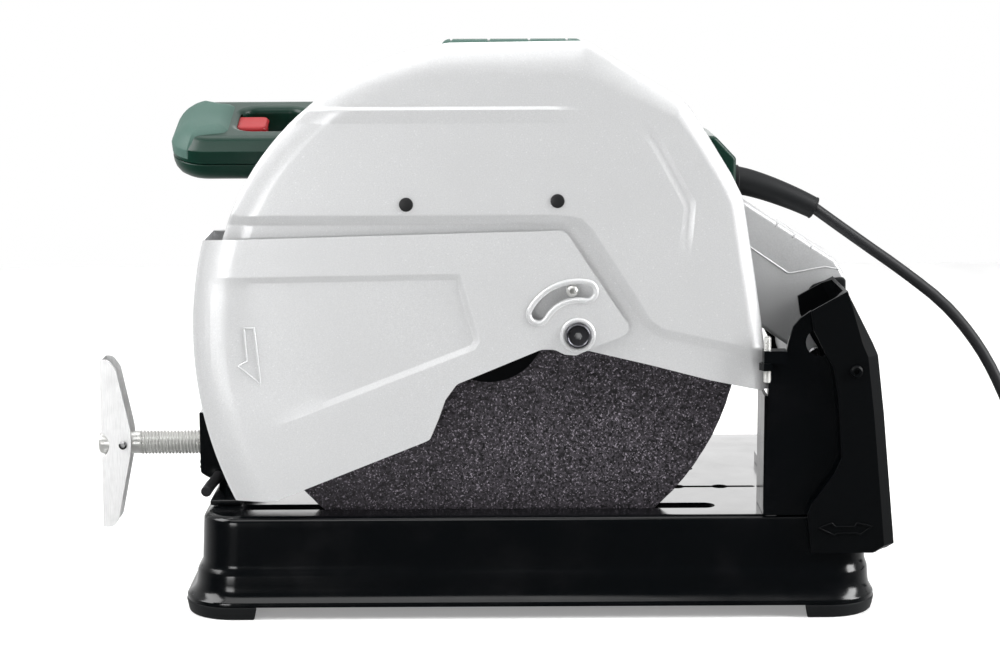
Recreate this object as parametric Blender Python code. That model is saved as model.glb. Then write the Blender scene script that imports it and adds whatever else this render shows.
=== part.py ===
"""Abrasive chop saw, built as separate named pieces.

Sizes are in millimetres in the saw's own frame: X runs from the operator's end (-X) to the spark
guard (+X), Y = 0 is the middle of the cutting disc, and Z = 0 is the ground.
"""

import math

import bmesh
import bpy
from mathutils import Matrix, Vector

MM = 0.001
GAP = 0.3  # between pieces that touch

# Driving dimensions
SPINDLE = (0, 203)  # X and Z of the disc's axis
DISC_R = 177.5
DISC_T = 3
TABLE_Z = 72
BASE_TOP = (-198.5, 264, -28, 245)  # flat top: X from, X to, Y from, Y to
BASE_CORNER = 24
TILT = (238, 172)  # X and Z of the head's hinge
GUARD_PIVOT = (62, 201)  # X and Z of the swinging guard's hinge
GUARD_REACH = 267  # from that hinge to the swinging guard's rim
GUIDE_PIN = (58, 232)
MOTOR = (21.5, 245.9)  # X and Z of the motor's axis, 48 mm from the spindle
VISE = (75, 104)  # Y and Z of the vise screw
LEVER_AXIS = (-201, 82)  # X and Z of the vise's release lever
FENCE_BOLT = (103, 40)  # X and Y of the bolt that the fence turns on
FENCE_BOLT_SPAN = 90
SHEET = 2.5
CORD_R = 4.25
CORD_Y = 80
COIL_AT = (505, 112)
COIL_R = 51
COIL_WIDE = 26.4
COIL_HIGH = 18
PLUG_X = 573.2  # where the cord's last turn leaves the coil
FLANGE_R = 40
RELIEF_FROM = (182.8, 295.6)
RELIEF_TO = (239, 276)
HANDLE_ROLL = math.radians(15)
HANDLE_HINGE = (50, 317)  # Y and Z of the line that the handle is rolled about
FRAME_SHIFT = (3, -108.5, 0)  # puts the middle of the saw's footprint at the origin

# name: (colour, roughness, metallic)
MATERIALS = {
    "silver_paint": ((0.62, 0.63, 0.64), 0.38, 0.55),
    "silver_casting": ((0.58, 0.59, 0.6), 0.45, 0.55),
    "black_paint": ((0.012, 0.012, 0.013), 0.22, 0.0),
    "green_plastic": ((0.004, 0.062, 0.052), 0.45, 0.0),
    "red_plastic": ((0.55, 0.01, 0.012), 0.4, 0.0),
    "abrasive": ((0.045, 0.038, 0.04), 0.85, 0.0),
    "zinc": ((0.55, 0.54, 0.5), 0.32, 0.9),
    "steel": ((0.6, 0.6, 0.6), 0.25, 1.0),
    "rubber": ((0.01, 0.01, 0.01), 0.6, 0.0),
    "copper": ((0.6, 0.2, 0.08), 0.4, 0.8),
    "black_plastic": ((0.015, 0.015, 0.016), 0.5, 0.0),
}

groups = {}


def clear_scene():
    for item in list(bpy.data.objects):
        bpy.data.objects.remove(item, do_unlink=True)


def material(name):
    found = bpy.data.materials.get(name)
    if found:
        return found
    colour, roughness, metallic = MATERIALS[name]
    made = bpy.data.materials.new(name)
    made.use_nodes = True
    shader = made.node_tree.nodes["Principled BSDF"]
    shader.inputs["Base Color"].default_value = (*colour, 1)
    shader.inputs["Roughness"].default_value = roughness
    shader.inputs["Metallic"].default_value = metallic
    made.diffuse_color = (*colour, 1)
    return made


def group(name, at, parent=None):
    """An empty on a joint's axis that the moving pieces hang from."""
    empty = bpy.data.objects.new("at_" + name, None)
    bpy.context.collection.objects.link(empty)
    base = groups[parent][1] if parent else Vector((0, 0, 0))
    empty.location = (Vector(at) - base) * MM
    if parent:
        empty.parent = groups[parent][0]
    groups[name] = (empty, Vector(at))


# ---- shapes, in the saw's frame ----


def place(u, v, w, axis):
    """A point w along an axis, with u and v across it."""
    if axis == "X":
        return (w, u, v)
    if axis == "Y":
        return (u, w, v)
    return (u, v, w)


def arc(centre, radius, start, end, steps):
    """Points on an arc, from one angle in degrees to another."""
    angles = [math.radians(start + (end - start) * i / steps) for i in range(steps + 1)]
    return [(centre[0] + radius * math.cos(a), centre[1] + radius * math.sin(a)) for a in angles]


def rectangle(u0, u1, v0, v1):
    return [(u0, v0), (u1, v0), (u1, v1), (u0, v1)]


def rounded(u0, u1, v0, v1, radius, steps=6):
    """A rectangle with round corners."""
    points = []
    corners = [(u1, v1, 0), (u0, v1, 90), (u0, v0, 180), (u1, v0, 270)]
    for u, v, start in corners:
        centre = (u - radius if u == u1 else u + radius, v - radius if v == v1 else v + radius)
        points += arc(centre, radius, start, start + 90, steps)
    return points


def inset(points, by):
    """The outline moved inwards, for an outline that runs anticlockwise."""
    moved = []
    for i, here in enumerate(points):
        before, after = Vector(points[i - 1]), Vector(points[(i + 1) % len(points)])
        one = (Vector(here) - before).normalized()
        two = (after - Vector(here)).normalized()
        normal = Vector((-one.y - two.y, one.x + two.x)).normalized()
        stretch = by / max(0.35, normal.dot(Vector((-two.y, two.x))))
        moved.append((here[0] + normal.x * stretch, here[1] + normal.y * stretch))
    return moved


def finish_shape(shape):
    bmesh.ops.recalc_face_normals(shape, faces=shape.faces)
    return shape


def loft(rings):
    """A closed solid through rings of points that each have as many points."""
    shape = bmesh.new()
    made = [[shape.verts.new(Vector(p) * MM) for p in ring] for ring in rings]
    for low, high in zip(made, made[1:]):
        for i in range(len(low)):
            j = (i + 1) % len(low)
            shape.faces.new((low[i], low[j], high[j], high[i]))
    shape.faces.new(made[0][::-1])
    shape.faces.new(made[-1])
    return finish_shape(shape)


def prism(points, low, high, axis="Y"):
    return loft([[place(u, v, w, axis) for u, v in points] for w in (low, high)])


def block(x, y, z):
    return prism(rectangle(*x, *y), z[0], z[1], "Z")


def turned(profile, centre, axis="Y", steps=32, ring=False):
    """A profile of (radius, place along the axis) turned about an axis; a ring joins its ends."""
    shape = bmesh.new()
    turns = []
    for radius, along in profile:
        count = steps if radius > 1e-6 else 1
        angles = [2 * math.pi * i / count for i in range(count)]
        around = [(centre[0] + radius * math.cos(a), centre[1] + radius * math.sin(a)) for a in angles]
        turns.append([shape.verts.new(Vector(place(u, v, along, axis)) * MM) for u, v in around])
    pairs = list(zip(turns, turns[1:]))
    if ring:
        pairs.append((turns[-1], turns[0]))
    for one, two in pairs:
        for i in range(steps):
            j = (i + 1) % steps
            corners = [one[i % len(one)], one[j % len(one)], two[j % len(two)], two[i % len(two)]]
            shape.faces.new(list(dict.fromkeys(corners)))
    if not ring:
        for end in (turns[0], turns[-1]):
            if len(end) > 1:
                shape.faces.new(end)
    return finish_shape(shape)


def rod(radius, low, high, centre, axis="Y", steps=24):
    return turned([(radius, low), (radius, high)], centre, axis, steps)


def tube(inner, outer, low, high, centre, axis="Y", steps=32):
    profile = [(inner, low), (outer, low), (outer, high), (inner, high)]
    return turned(profile, centre, axis, steps, ring=True)


def sector(centre, inner, outer, start, end, steps):
    """A stretch of a ring between two angles."""
    return arc(centre, outer, start, end, steps) + arc(centre, inner, end, start, steps)


def curved_slot(centre, radius, width, start, end, steps=10):
    """A slot with round ends along an arc."""
    half = width / 2
    first, last = arc(centre, radius, start, end, 1)
    outer = arc(centre, radius + half, start, end, steps)
    inner = arc(centre, radius - half, end, start, steps)
    tail = arc(last, half, end, end + 180, 6)[1:-1]
    head = arc(first, half, start + 180, start + 360, 6)[1:-1]
    return outer + tail + inner + head


def rolled(shape):
    """The shape turned with the handle about the handle's own line."""
    hinge = Vector((0, *HANDLE_HINGE)) * MM
    turn = Matrix.Rotation(HANDLE_ROLL, 4, "X")
    shape.transform(Matrix.Translation(hinge) @ turn @ Matrix.Translation(-hinge))
    return shape


# ---- objects ----


def add(name, shape, paint, parent):
    """A named piece from a shape in the saw's frame."""
    empty, at = groups[parent]
    shape.transform(Matrix.Translation(-at * MM))
    mesh = bpy.data.meshes.new(name)
    shape.to_mesh(mesh)
    shape.free()
    mesh.shade_smooth()
    mesh.set_sharp_from_angle(angle=math.radians(35))
    made = bpy.data.objects.new(name, mesh)
    bpy.context.collection.objects.link(made)
    made.parent = empty
    if paint:
        mesh.materials.append(material(paint))
    return made


def combine(target, shape, operation):
    parent = next(name for name, (empty, _) in groups.items() if empty == target.parent)
    other = add("tool_" + target.name, shape, None, parent)
    other.hide_render = True
    other.display_type = "WIRE"
    step = target.modifiers.new(operation.lower(), "BOOLEAN")
    step.operation = operation
    step.solver = "EXACT"
    step.object = other
    return target


def cut(target, *shapes):
    for shape in shapes:
        combine(target, shape, "DIFFERENCE")
    return target


def weld(target, *shapes):
    for shape in shapes:
        combine(target, shape, "UNION")
    return target


def soften(target, width, segments=2):
    step = target.modifiers.new("soften", "BEVEL")
    step.width = width * MM
    step.segments = segments
    step.limit_method = "ANGLE"
    step.angle_limit = math.radians(50)
    return target


# ---- base ----

# Height and how far the skirt stands out from the flat top, from the top down.
SKIRT = [(72, 0), (70.4, 1.8), (66, 3.2), (36, 4.2), (29, 6.5), (18, 8), (13.5, 9.6), (9.3, 12)]
SKIRT_SPREAD = (1.5, 0.85, 1, 1.5)  # how much of that each side has: left, right, near, far
FOOT_R = 27


def base_ring(height, out):
    x0, x1, y0, y1 = BASE_TOP
    left, right, near, far = [out * share for share in SKIRT_SPREAD]
    outline = rounded(x0 - left, x1 + right, y0 - near, y1 + far, BASE_CORNER + out)
    return [(x, y, height) for x, y in outline]


def make_base():
    inner = [base_ring(z - SHEET, out - SHEET) for z, out in SKIRT[:-1]]
    lip = [base_ring(SKIRT[-1][0], SKIRT[-1][1] - SHEET)]
    outer = [base_ring(z, out) for z, out in reversed(SKIRT)]
    base = add("base_plate", loft(inner + lip + outer), "black_paint", "saw")
    through = (TABLE_Z - 8, TABLE_Z + 4)
    cut(base, prism(rounded(-178, 161, -8, 8, 7.9, 4), *through, "Z"))
    cut(base, prism(rounded(114, 196, 55.4, 60.6, 2.5, 3), *through, "Z"))
    for x in (138, 170):
        cut(base, rod(6, *through, (x, 58), "Z", 16))
    cut(base, rod(5.6, *through, FENCE_BOLT, "Z", 16))
    cut(base, prism(curved_slot(FENCE_BOLT, FENCE_BOLT_SPAN, 11.2, 59, 91), *through, "Z"))
    foot = base_ring(0, SKIRT[-1][1])
    left, right = min(p[0] for p in foot) + FOOT_R, max(p[0] for p in foot) - FOOT_R
    near, far = min(p[1] for p in foot) + FOOT_R, max(p[1] for p in foot) - FOOT_R
    profile = [(FOOT_R - 2, 0), (FOOT_R, 2), (FOOT_R, 9)]
    for side, x in (("left", left), ("right", right)):
        for depth, y in (("near", near), ("far", far)):
            add(f"foot_{depth}_{side}", turned(profile, (x, y), "Z", 28), "rubber", "saw")


def chute_outline(top):
    low = TABLE_Z + 0.4
    if not top:
        return rectangle(202, 253, low, 150)
    shoulder = [(252, 205), (240, 215), (223, 217), (216, 212), (211, 206), (208, 196), (206, 186)]
    shoulder.append((195, 182))
    return [(192, low), (253, low), (257, 190)] + shoulder


def make_chute():
    near, far = -28.5, 28.5
    chute = add("spark_chute", prism(chute_outline(True), near - SHEET, near), "black_paint", "saw")
    weld(chute, prism(chute_outline(False), far, far + SHEET))
    weld(chute, block((202, 253), (near - 1, far + 1), (TABLE_Z + 0.4, TABLE_Z + 3)))
    weld(chute, block((192, 194.5), (near - 1, 12), (TABLE_Z + 0.4, 157)))
    weld(chute, block((190, 206), (-41, near - 0.5), (182, 190.5)))
    cut(chute, rod(10, near - 6, near + 3, (230, 195)))
    stop = (192.8, -36)
    cut(chute, rod(3, 178, 194, stop, "Z", 16))
    add("depth_stop_screw", turned([(2.7, 168), (2.7, 199), (1.9, 200)], stop, "Z", 16), "zinc", "saw")
    nut = add("depth_stop_nut", rod(5.6, 176.6, 181.7, stop, "Z", 6), "black_paint", "saw")
    cut(nut, rod(3, 170, 190, stop, "Z", 16))


def make_tilt_bracket():
    low = TABLE_Z + 0.4
    bracket = add("tilt_bracket", block((205, 253), (50.5, 144), (low, 80)), "black_paint", "saw")
    legs = [(214, 79), (252, 79)]
    near_lug = legs + arc(TILT, 20, 0, 180, 14)
    far_lug = legs + arc(TILT, 20, 0, 80, 8) + [(224, 214), (205, 214), (200, 197), (214, 170)]
    weld(bracket, prism(near_lug, 50.5, 61.7), prism(far_lug, 132.4, 144))
    cut(bracket, rod(8.3, 36, 147, TILT))
    pin = (212, 203)
    cut(bracket, rod(4.4, 130, 147, pin, steps=16))
    shaft = [(7, 36.6), (8, 37.6), (8, 144.4), (12, 144.4), (12, 149), (0, 149)]
    add("tilt_shaft", turned([(0, 36.6)] + shaft, TILT), "steel", "saw")
    knob = [(0, 132.8), (4, 132.8), (4, 146), (9, 146), (10, 149), (10, 157), (8, 159), (0, 159)]
    add("lock_pin", turned(knob, pin, steps=20), "red_plastic", "lock_pin")


def make_return_spring():
    """A torsion spring round the tilt shaft."""
    turns, steps, radius = 7, 12, 12.4
    low, high = 105, 129
    curve = bpy.data.curves.new("return_spring", "CURVE")
    curve.dimensions = "3D"
    curve.bevel_depth = 1.5 * MM
    curve.bevel_resolution = 1
    curve.use_fill_caps = True
    line = curve.splines.new("POLY")
    line.points.add(turns * steps)
    for i, point in enumerate(line.points):
        angle = 2 * math.pi * i / steps
        along = low + (high - low) * i / (turns * steps)
        spot = Vector((radius * math.cos(angle), along, radius * math.sin(angle)))
        point.co = (*((spot + Vector((TILT[0], 0, TILT[1]))) * MM), 1)
    spring = bpy.data.objects.new("return_spring", curve)
    bpy.context.collection.objects.link(spring)
    spring.parent = groups["saw"][0]
    curve.materials.append(material("steel"))


def make_fence():
    face = prism([(85, 72.4), (120, 72.4), (120, 78), (91, 78), (91, 122), (85, 122)], 12, 165)
    fence = add("fence", face, "silver_paint", "fence")
    x, y = FENCE_BOLT
    for name, along, parent in (("near", y, "saw"), ("far", y + FENCE_BOLT_SPAN, "fence")):
        cut(fence, rod(5.4, 70, 80, (x, along), "Z", 16))
        bolt = [(0, 60), (5, 60), (5, 78.4), (8.5, 78.4), (8.5, 84), (0, 84)]
        add("fence_bolt_" + name, turned(bolt, (x, along), "Z", 12), "zinc", parent)


# ---- vise ----


def make_vise():
    y, z = VISE
    foot = [(-212.4, 86), (-208, 83), (-199, 79), (-199, 72.4), (-165, 72.4), (-165, 79)]
    side = foot + [(-178, 86), (-186, 128), (-189, 131), (-212.4, 131)]
    bracket = add("vise_bracket", prism(side, y - 24, y + 24), "black_paint", "saw")
    weld(bracket, block((-199.5, -178), (5, y - 20), (TABLE_Z + 0.4, 75.2)))
    cut(bracket, rod(9.4, -220, -170, VISE, "X"))
    lever = add("vise_release_lever", rod(5, 36, 50.6, LEVER_AXIS, steps=20), "black_paint", "release_lever")
    weld(lever, rod(4.5, 18, 40, (LEVER_AXIS[0] - 3.5, LEVER_AXIS[1] - 2.5), steps=20))
    jaw = block((-30, -12), (y - 37, y + 37), (TABLE_Z + 1.5, TABLE_Z + 53))
    soften(add("vise_jaw", jaw, "black_paint", "vise"), 2)
    screw = [(0, -290), (7.5, -290), (9, -288), (9, -31), (8, -30.4), (0, -30.4)]
    spindle = add("vise_spindle", turned(screw, VISE, "X", 24), "zinc", "vise_screw")
    pin = (-271, z)
    cut(spindle, rod(3.3, y - 12, y + 12, pin, steps=12))
    leaf = [(-288, 43), (-280, 41), (-275.5, 45), (-265.8, 96), (-264.8, 112), (-275, 162), (-279.5, 167.5)]
    leaf.append((-288, 168))
    wing = add("wing_handle", prism(leaf, y - 11.5, y + 11.5), "zinc", "vise_screw")
    cut(wing, prism(rectangle(-285.5, -250, 30, 180), y - 9.4, y + 9.4))
    cut(wing, rod(9.4, -292, -280, VISE, "X"), rod(3.3, y - 14, y + 14, pin, steps=12))
    add("wing_pin", rod(3, y - 14, y + 14, pin, steps=12), "steel", "vise_screw")


# ---- spark guard ----

SPARK_LEFT = [(247, 232), (222, 218), (224, 205), (232, 189), (238, 179), (242, 156), (245, 114),
              (240, 103), (225, 82), (222, 74), (225, 47)]
SPARK_RIGHT = [(276, 47), (284, 52), (275, 145), (270, 186), (266, 195)]


def spark_layers(left, right, thin):
    """The guard's outline at four depths, drawn in towards both sides for the bent edges."""
    near, far, bend = -40 + thin, 34 - thin, 8
    rings = []
    for y, pull in [(near, bend), (near + bend, 0), (far - bend, 0), (far, bend)]:
        ring = left + [(x - thin - pull, z) for x, z in right]
        rings.append([(x, y, z) for x, z in ring])
    return rings


def make_spark_guard():
    shell = loft(spark_layers(SPARK_LEFT, SPARK_RIGHT, 0))
    guard = add("spark_guard", shell, "black_paint", "spark_guard")
    inside = [(150, 260), (150, 30)]
    wall = [(284, 30)] + SPARK_RIGHT[1:] + [(247, 232), (236, 260)]
    cut(guard, loft(spark_layers(inside, wall, SHEET)))
    cut(guard, block((200, 270), (5, 50), (30, TABLE_Z + 2)))
    screw = (254, 176)
    cut(guard, rod(2.8, -42, -35, screw, steps=12))
    head = [(0, -43), (3.5, -43), (4.3, -40.3), (2.5, -40.3), (2.5, -34), (0, -34)]
    add("spark_guard_screw", turned(head, screw, steps=16), "black_paint", "spark_guard")


# ---- disc guards ----


def upper_guard_outline(drop):
    """The fixed guard's outline, anticlockwise; drop lowers its bottom edge."""
    right = [(196, 161 - drop), (190, 207), (183, 252), (176, 295), (168, 311), (152, 337), (137, 360)]
    crown = [(104, 379), (69, 401)] + arc((-3.7, 213.5), 188, 98, 185, 24)
    bottom = [(-190.5, 190), (45, 190), (70, 189), (112, 179), (154, 168), (188, 161)]
    return right + crown + [(x, z - drop) for x, z in bottom]


def make_upper_guard():
    near, far = -27, 26
    guard = add("upper_guard", prism(upper_guard_outline(0), near, far), "silver_paint", "head")
    cut(guard, prism(inset(upper_guard_outline(20), SHEET), near + SHEET, far - SHEET))
    access = arc(SPINDLE, 42, 0, 180, 14) + [(-42, 140), (42, 140)]
    cut(guard, prism(access, near - 2, near + SHEET + 2), rod(24, far - 6, far + 2, SPINDLE))
    plugs = {"front": (-56, 292), "rear": (48, 294)}
    for name, at in plugs.items():
        cut(guard, rod(2.6, near - 2, near + 5, at, steps=12))
        shank = [(2.3, near - 0.3), (2.3, near + 8), (0, near + 8)]
        screw = turned([(0, near - 1.5), (4, near - 1.5), (5, near - 0.3)] + shank, at, steps=16)
        add("guard_screw_" + name, screw, "black_plastic", "head")
    for radius, at in ((6.3, GUARD_PIVOT), (4.3, GUIDE_PIN)):
        cut(guard, rod(radius, near - 2, near + 5, at, steps=16))
    bolt_head = [(0, -38.5), (6, -38.5), (7, -37.5), (7, -35.5), (10, -35.5), (10, -33.8), (6, -33.8)]
    add("guard_pivot_bolt", turned(bolt_head + [(6, -18), (0, -18)], GUARD_PIVOT), "zinc", "head")
    add("guard_guide_pin", rod(4, -35.5, -18, GUIDE_PIN, steps=16), "zinc", "head")
    add("guard_back_plate", tube(24, 58, far + GAP, far + 3.5, SPINDLE, steps=36), "black_paint", "head")


def make_lower_guard():
    """The swinging guard: a near side, a rim round its hinge and a narrow far side."""
    near, far = -33.5, 32.5
    lobe = [(41, 192), (53, 188), (71, 191), (96, 202), (97, 207)]
    corner = [(53, 274), (-182, 268)]
    tip = [(-158, 84), (-148, 85), (-45, 126), (-41, 128), (-22, 167), (35, 190)]
    side = corner + arc(GUARD_PIVOT, GUARD_REACH, 165.5, 206, 18) + tip + lobe
    guard = add("lower_guard", prism(side, near, near + SHEET), "silver_paint", "swing_guard")
    rim = sector(GUARD_PIVOT, GUARD_REACH - SHEET, GUARD_REACH, 165.5, 206, 18)
    back = sector(GUARD_PIVOT, 200, GUARD_REACH, 167, 204, 18)
    weld(guard, prism(rim, near + 0.5, far), prism(back, far - SHEET, far - 0.2))
    cut(guard, rod(6.4, near - 2, near + 5, GUARD_PIVOT, steps=16))
    cut(guard, prism(curved_slot(GUARD_PIVOT, 31.3, 9, 79, 151), near - 2, near + 5))


# ---- head ----


def make_arm():
    bottom = [(73.9, 214), (196, 195)] + arc(TILT, 20, 160, 360, 20)
    top = [(258, 215), (257, 230), (250, 243), (244, 255), (226, 262), (216, 271), (206, 280)]
    arm = add("arm", prism(bottom + top + [(184, 284), (73.9, 283)], 38, 132), "silver_casting", "head")
    cut(arm, rod(24.5, 50.2, 62, TILT), rod(17.2, 103, 134, TILT), rod(8.4, 36, 110, TILT))
    cut(arm, block((150, 270), (66, 140), (267, 300)))


def make_gearbox():
    box = add("gearbox_housing", rod(52, 36, 80, MOTOR, steps=48), "silver_casting", "head")
    weld(box, rod(42, 36, 80, SPINDLE, steps=40), rod(30, 29.8, 40, SPINDLE))
    cut(box, rod(12, 28, 40, SPINDLE), rod(17.3, 36.8, 55, SPINDLE), rod(38.2, 52, 68, SPINDLE, steps=40))
    cut(box, rod(8.6, 60, 77, SPINDLE), rod(14, 52, 82, MOTOR))


def make_motor():
    shell = [(14, 80.3), (50, 80.3), (50, 232), (46, 232), (46, 84), (14, 84)]
    add("motor_housing", turned(shell, MOTOR, steps=48, ring=True), "green_plastic", "head")
    outside = [(0, 262), (44, 262), (50, 256), (50, 232.3), (46, 232.3), (46, 250)]
    hub = [(18, 250), (18, 234), (13.3, 234), (13.3, 244), (0, 244)]
    add("motor_end_cap", turned(outside + hub, MOTOR, steps=48), "green_plastic", "head")
    for name, side in (("front", -1), ("rear", 1)):
        along = [MOTOR[0] + side * reach for reach in (50.4, 55, 56.5)]
        cap = [(0, along[0]), (9, along[0]), (9, along[1]), (7.5, along[2]), (0, along[2])]
        add("brush_cap_" + name, turned(cap, (200, MOTOR[1]), "X", 20), "black_plastic", "head")
    add("stator", tube(31, 45.7, 115, 185, MOTOR), "steel", "head")
    shaft = [(0, 53), (10.93, 53), (10.93, 67), (6, 67), (6, 240), (0, 240)]
    add("motor_shaft", turned(shaft, MOTOR, steps=24), "steel", "rotor")
    add("armature", tube(6.3, 28.5, 118, 182, MOTOR), "steel", "rotor")
    add("commutator", tube(6.3, 15, 190, 210, MOTOR, steps=24), "copper", "rotor")
    add("cooling_fan", tube(6.3, 40, 92, 106, MOTOR), "black_plastic", "rotor")
    add("motor_bearing", tube(6.3, 13, 235, 242, MOTOR, steps=24), "steel", "head")


def make_disc():
    half = DISC_T / 2
    spindle = add("spindle", rod(8.2, -8.6, 76, SPINDLE), "steel", "disc")
    cut(spindle, rod(5.3, -10, 16, SPINDLE, steps=16))
    add("spindle_gear", tube(8.5, 36.77, 54, 66, SPINDLE, steps=40), "steel", "disc")
    add("spindle_bearing", tube(8.5, 17, 37.1, 49, SPINDLE), "steel", "head")
    hub = [(8.5, -1.4), (12.4, -1.4), (12.4, 1.8), (FLANGE_R, 1.8), (FLANGE_R, 5), (16, 9.5), (8.5, 9.5)]
    add("inner_flange", turned(hub, SPINDLE, ring=True), "zinc", "disc")
    add("cutting_disc", tube(12.7, DISC_R, -half, half, SPINDLE, steps=96), "abrasive", "disc")
    cap = [(8.5, -1.8), (FLANGE_R, -1.8), (FLANGE_R, -5), (16, -8.6), (8.5, -8.6)]
    add("outer_flange", turned(cap, SPINDLE, ring=True), "black_paint", "disc")
    bolt = add("arbor_bolt", rod(12, -17, -8.9, SPINDLE, steps=6), "zinc", "disc")
    weld(bolt, rod(5, -10, 14, SPINDLE, steps=16))


def handle_shell(seam, face):
    """Half of the D-shaped handle, from the seam to a rounded face."""
    near_end, far_end = arc((-200, 68), 28, 180, 270, 8), arc((-200, 108), 28, 90, 180, 8)
    plan = near_end + [(-117.6, 40), (-117.6, 136)] + far_end
    up = 1 if face > seam else -1
    levels = [(seam, 0), (face - 8 * up, 0), (face - 2.5 * up, 2.5), (face, 8)]
    rings = [[(x, y, z) for x, y in (inset(plan, by) if by else plan)] for z, by in levels]
    return rolled(loft(rings))


def make_handle():
    trigger = ((-189.5, -160), (77, 103), (310, 331))
    pocket = block((-197, -178), (75.5, 104.5), (308.5, 332))
    for name, seam, face in (("upper", 316.2, 334), ("lower", 315.9, 301)):
        shell = add("handle_" + name + "_shell", handle_shell(seam, face), "green_plastic", "head")
        cut(shell, rolled(prism(rounded(-181, -136, 64, 112, 12), 280, 360, "Z")))
        cut(shell, rolled(pocket.copy()))
    pocket.free()
    soften(add("trigger", rolled(block(*trigger)), "red_plastic", "trigger"), 3)


def make_switch_housing():
    side = [(-117, 300), (150, 300), (160, 285.8), (178.3, 285.8), (178.3, 316), (163, 332), (-117, 333)]
    housing = add("switch_housing", prism(side, 46, 126), "green_plastic", "head")
    cut(housing, prism(rectangle(-112, 145, 290, 329), 50, 122))
    add("switch_module", block((-105, -50), (60, 112), (301, 325)), "black_plastic", "head")
    hoop = prism([(84, 333.6), (69, 400.5), (-33, 400.5), (-48, 333.6)], 46, 70)
    carry = add("carry_handle", hoop, "green_plastic", "head")
    cut(carry, prism([(60, 345), (50, 384), (-14, 384), (-24, 345)], 40, 76))


def make_strain_relief():
    start = Vector((RELIEF_FROM[0], CORD_Y, RELIEF_FROM[1]))
    run = Vector((RELIEF_TO[0], CORD_Y, RELIEF_TO[1])) - start
    long = run.length
    sleeve = turned([(0, 0), (10.7, 0), (7.8, long - 2), (7, long), (0, long)], (0, 0), "Z", 24)
    turn = Vector((0, 0, 1)).rotation_difference(run).to_matrix().to_4x4()
    sleeve.transform(Matrix.Translation(start * MM) @ turn)
    relief = add("strain_relief", sleeve, "rubber", "head")
    weld(relief, rod(10, 178.6, 187, (CORD_Y, RELIEF_FROM[1] - 0.4), "X", 24))


# ---- cord ----

# Where the cord runs from the strain relief to its coil.
CORD_ROUTE = [(240.2, 80, 275.5), (259, 80, 262), (283, 80, 245), (307, 80, 228), (339, 80, 202),
              (366, 79, 168), (386, 77, 128), (400, 73, 88), (413, 68, 52), (427, 63, 24), (442, 60, 9.5),
              (460, 58.3, 4.8)]


def smooth_line(route, step):
    """Points along a smooth curve through the route's points."""
    spots = [Vector(p) for p in route]
    ends = [spots[0] * 2 - spots[1]] + spots + [spots[-1] * 2 - spots[-2]]
    line = [spots[0]]
    for before, one, two, after in zip(ends, ends[1:], ends[2:], ends[3:]):
        pieces = max(1, round((two - one).length / step))
        for i in range(1, pieces + 1):
            t = i / pieces
            square = 2 * before - 5 * one + 4 * two - after
            cube = 3 * (one - two) + after - before
            line.append(one + ((two - before) * t + square * t * t + cube * t ** 3) / 2)
    return line


def make_cord():
    points = smooth_line(CORD_ROUTE, 5 * CORD_R)
    curve = bpy.data.curves.new("cord_lead", "CURVE")
    curve.dimensions = "3D"
    curve.bevel_depth = CORD_R * MM
    curve.bevel_resolution = 3
    curve.use_fill_caps = True
    line = curve.splines.new("POLY")
    line.points.add(len(points) - 1)
    for spot, place_at in zip(line.points, points):
        spot.co = (*(place_at * MM), 1)
    lead = bpy.data.objects.new("cord_lead", curve)
    bpy.context.collection.objects.link(lead)
    lead.parent = groups["saw"][0]
    curve.materials.append(material("rubber"))
    low, high = GAP, GAP + COIL_HIGH
    inner, outer = COIL_R - COIL_WIDE / 2, COIL_R + COIL_WIDE / 2
    inside = [(inner + 4, high), (inner, high - 4), (inner, low + 4), (inner + 4, low)]
    outside = [(outer - 4, low), (outer, low + 4), (outer, high - 4), (outer - 4, high)]
    coil = add("cord_coil", turned(inside + outside, COIL_AT, "Z", 40, ring=True), "rubber", "saw")
    weld(coil, rod(CORD_R, COIL_AT[1], 143.6, (PLUG_X, 9), steps=16))
    make_plug()


def make_plug():
    """A two-pin plug that lies beside the coil."""
    axis, start, body, end = 14, 144, 156, 206
    plug = add("plug", block((PLUG_X - 15, PLUG_X + 15), (body, end), (0.5, 27)), "black_plastic", "saw")
    soften(plug, 3)
    pins = [rod(2.4, end - 4, end + 19, (PLUG_X + side, axis), steps=12) for side in (-9.5, 9.5)]
    weld(plug, rod(6, start, body + 6, (PLUG_X, axis), steps=16), *pins)


def make_groups():
    saw = bpy.data.objects.new("at_saw", None)
    bpy.context.collection.objects.link(saw)
    saw.location = Vector(FRAME_SHIFT) * MM
    groups["saw"] = (saw, Vector((0, 0, 0)))
    group("head", (TILT[0], 85, TILT[1]), "saw")
    group("swing_guard", (GUARD_PIVOT[0], 0, GUARD_PIVOT[1]), "head")
    group("disc", (SPINDLE[0], 0, SPINDLE[1]), "head")
    group("rotor", (MOTOR[0], 150, MOTOR[1]), "head")
    group("trigger", (-189.5, 90, 331), "head")
    group("spark_guard", (254, -40, 140), "saw")
    group("lock_pin", (212, 145, 203), "saw")
    group("fence", (*FENCE_BOLT, TABLE_Z), "saw")
    group("vise", (-21, *VISE), "saw")
    group("vise_screw", (-21, *VISE), "vise")
    group("release_lever", (LEVER_AXIS[0], 50, LEVER_AXIS[1]), "saw")


def main():
    clear_scene()
    make_groups()
    make_base()
    make_chute()
    make_tilt_bracket()
    make_return_spring()
    make_fence()
    make_vise()
    make_spark_guard()
    make_upper_guard()
    make_lower_guard()
    make_arm()
    make_gearbox()
    make_motor()
    make_disc()
    make_handle()
    make_switch_housing()
    make_strain_relief()
    make_cord()


main()
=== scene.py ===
"""The looks of an abrasive chop saw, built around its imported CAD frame.

Points are in millimetres from the foot of the disc's axis: X runs along the saw from the
operator's end, Y away from the camera, and Z up. Shapes become metres when they become pieces.
"""

import math

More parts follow.
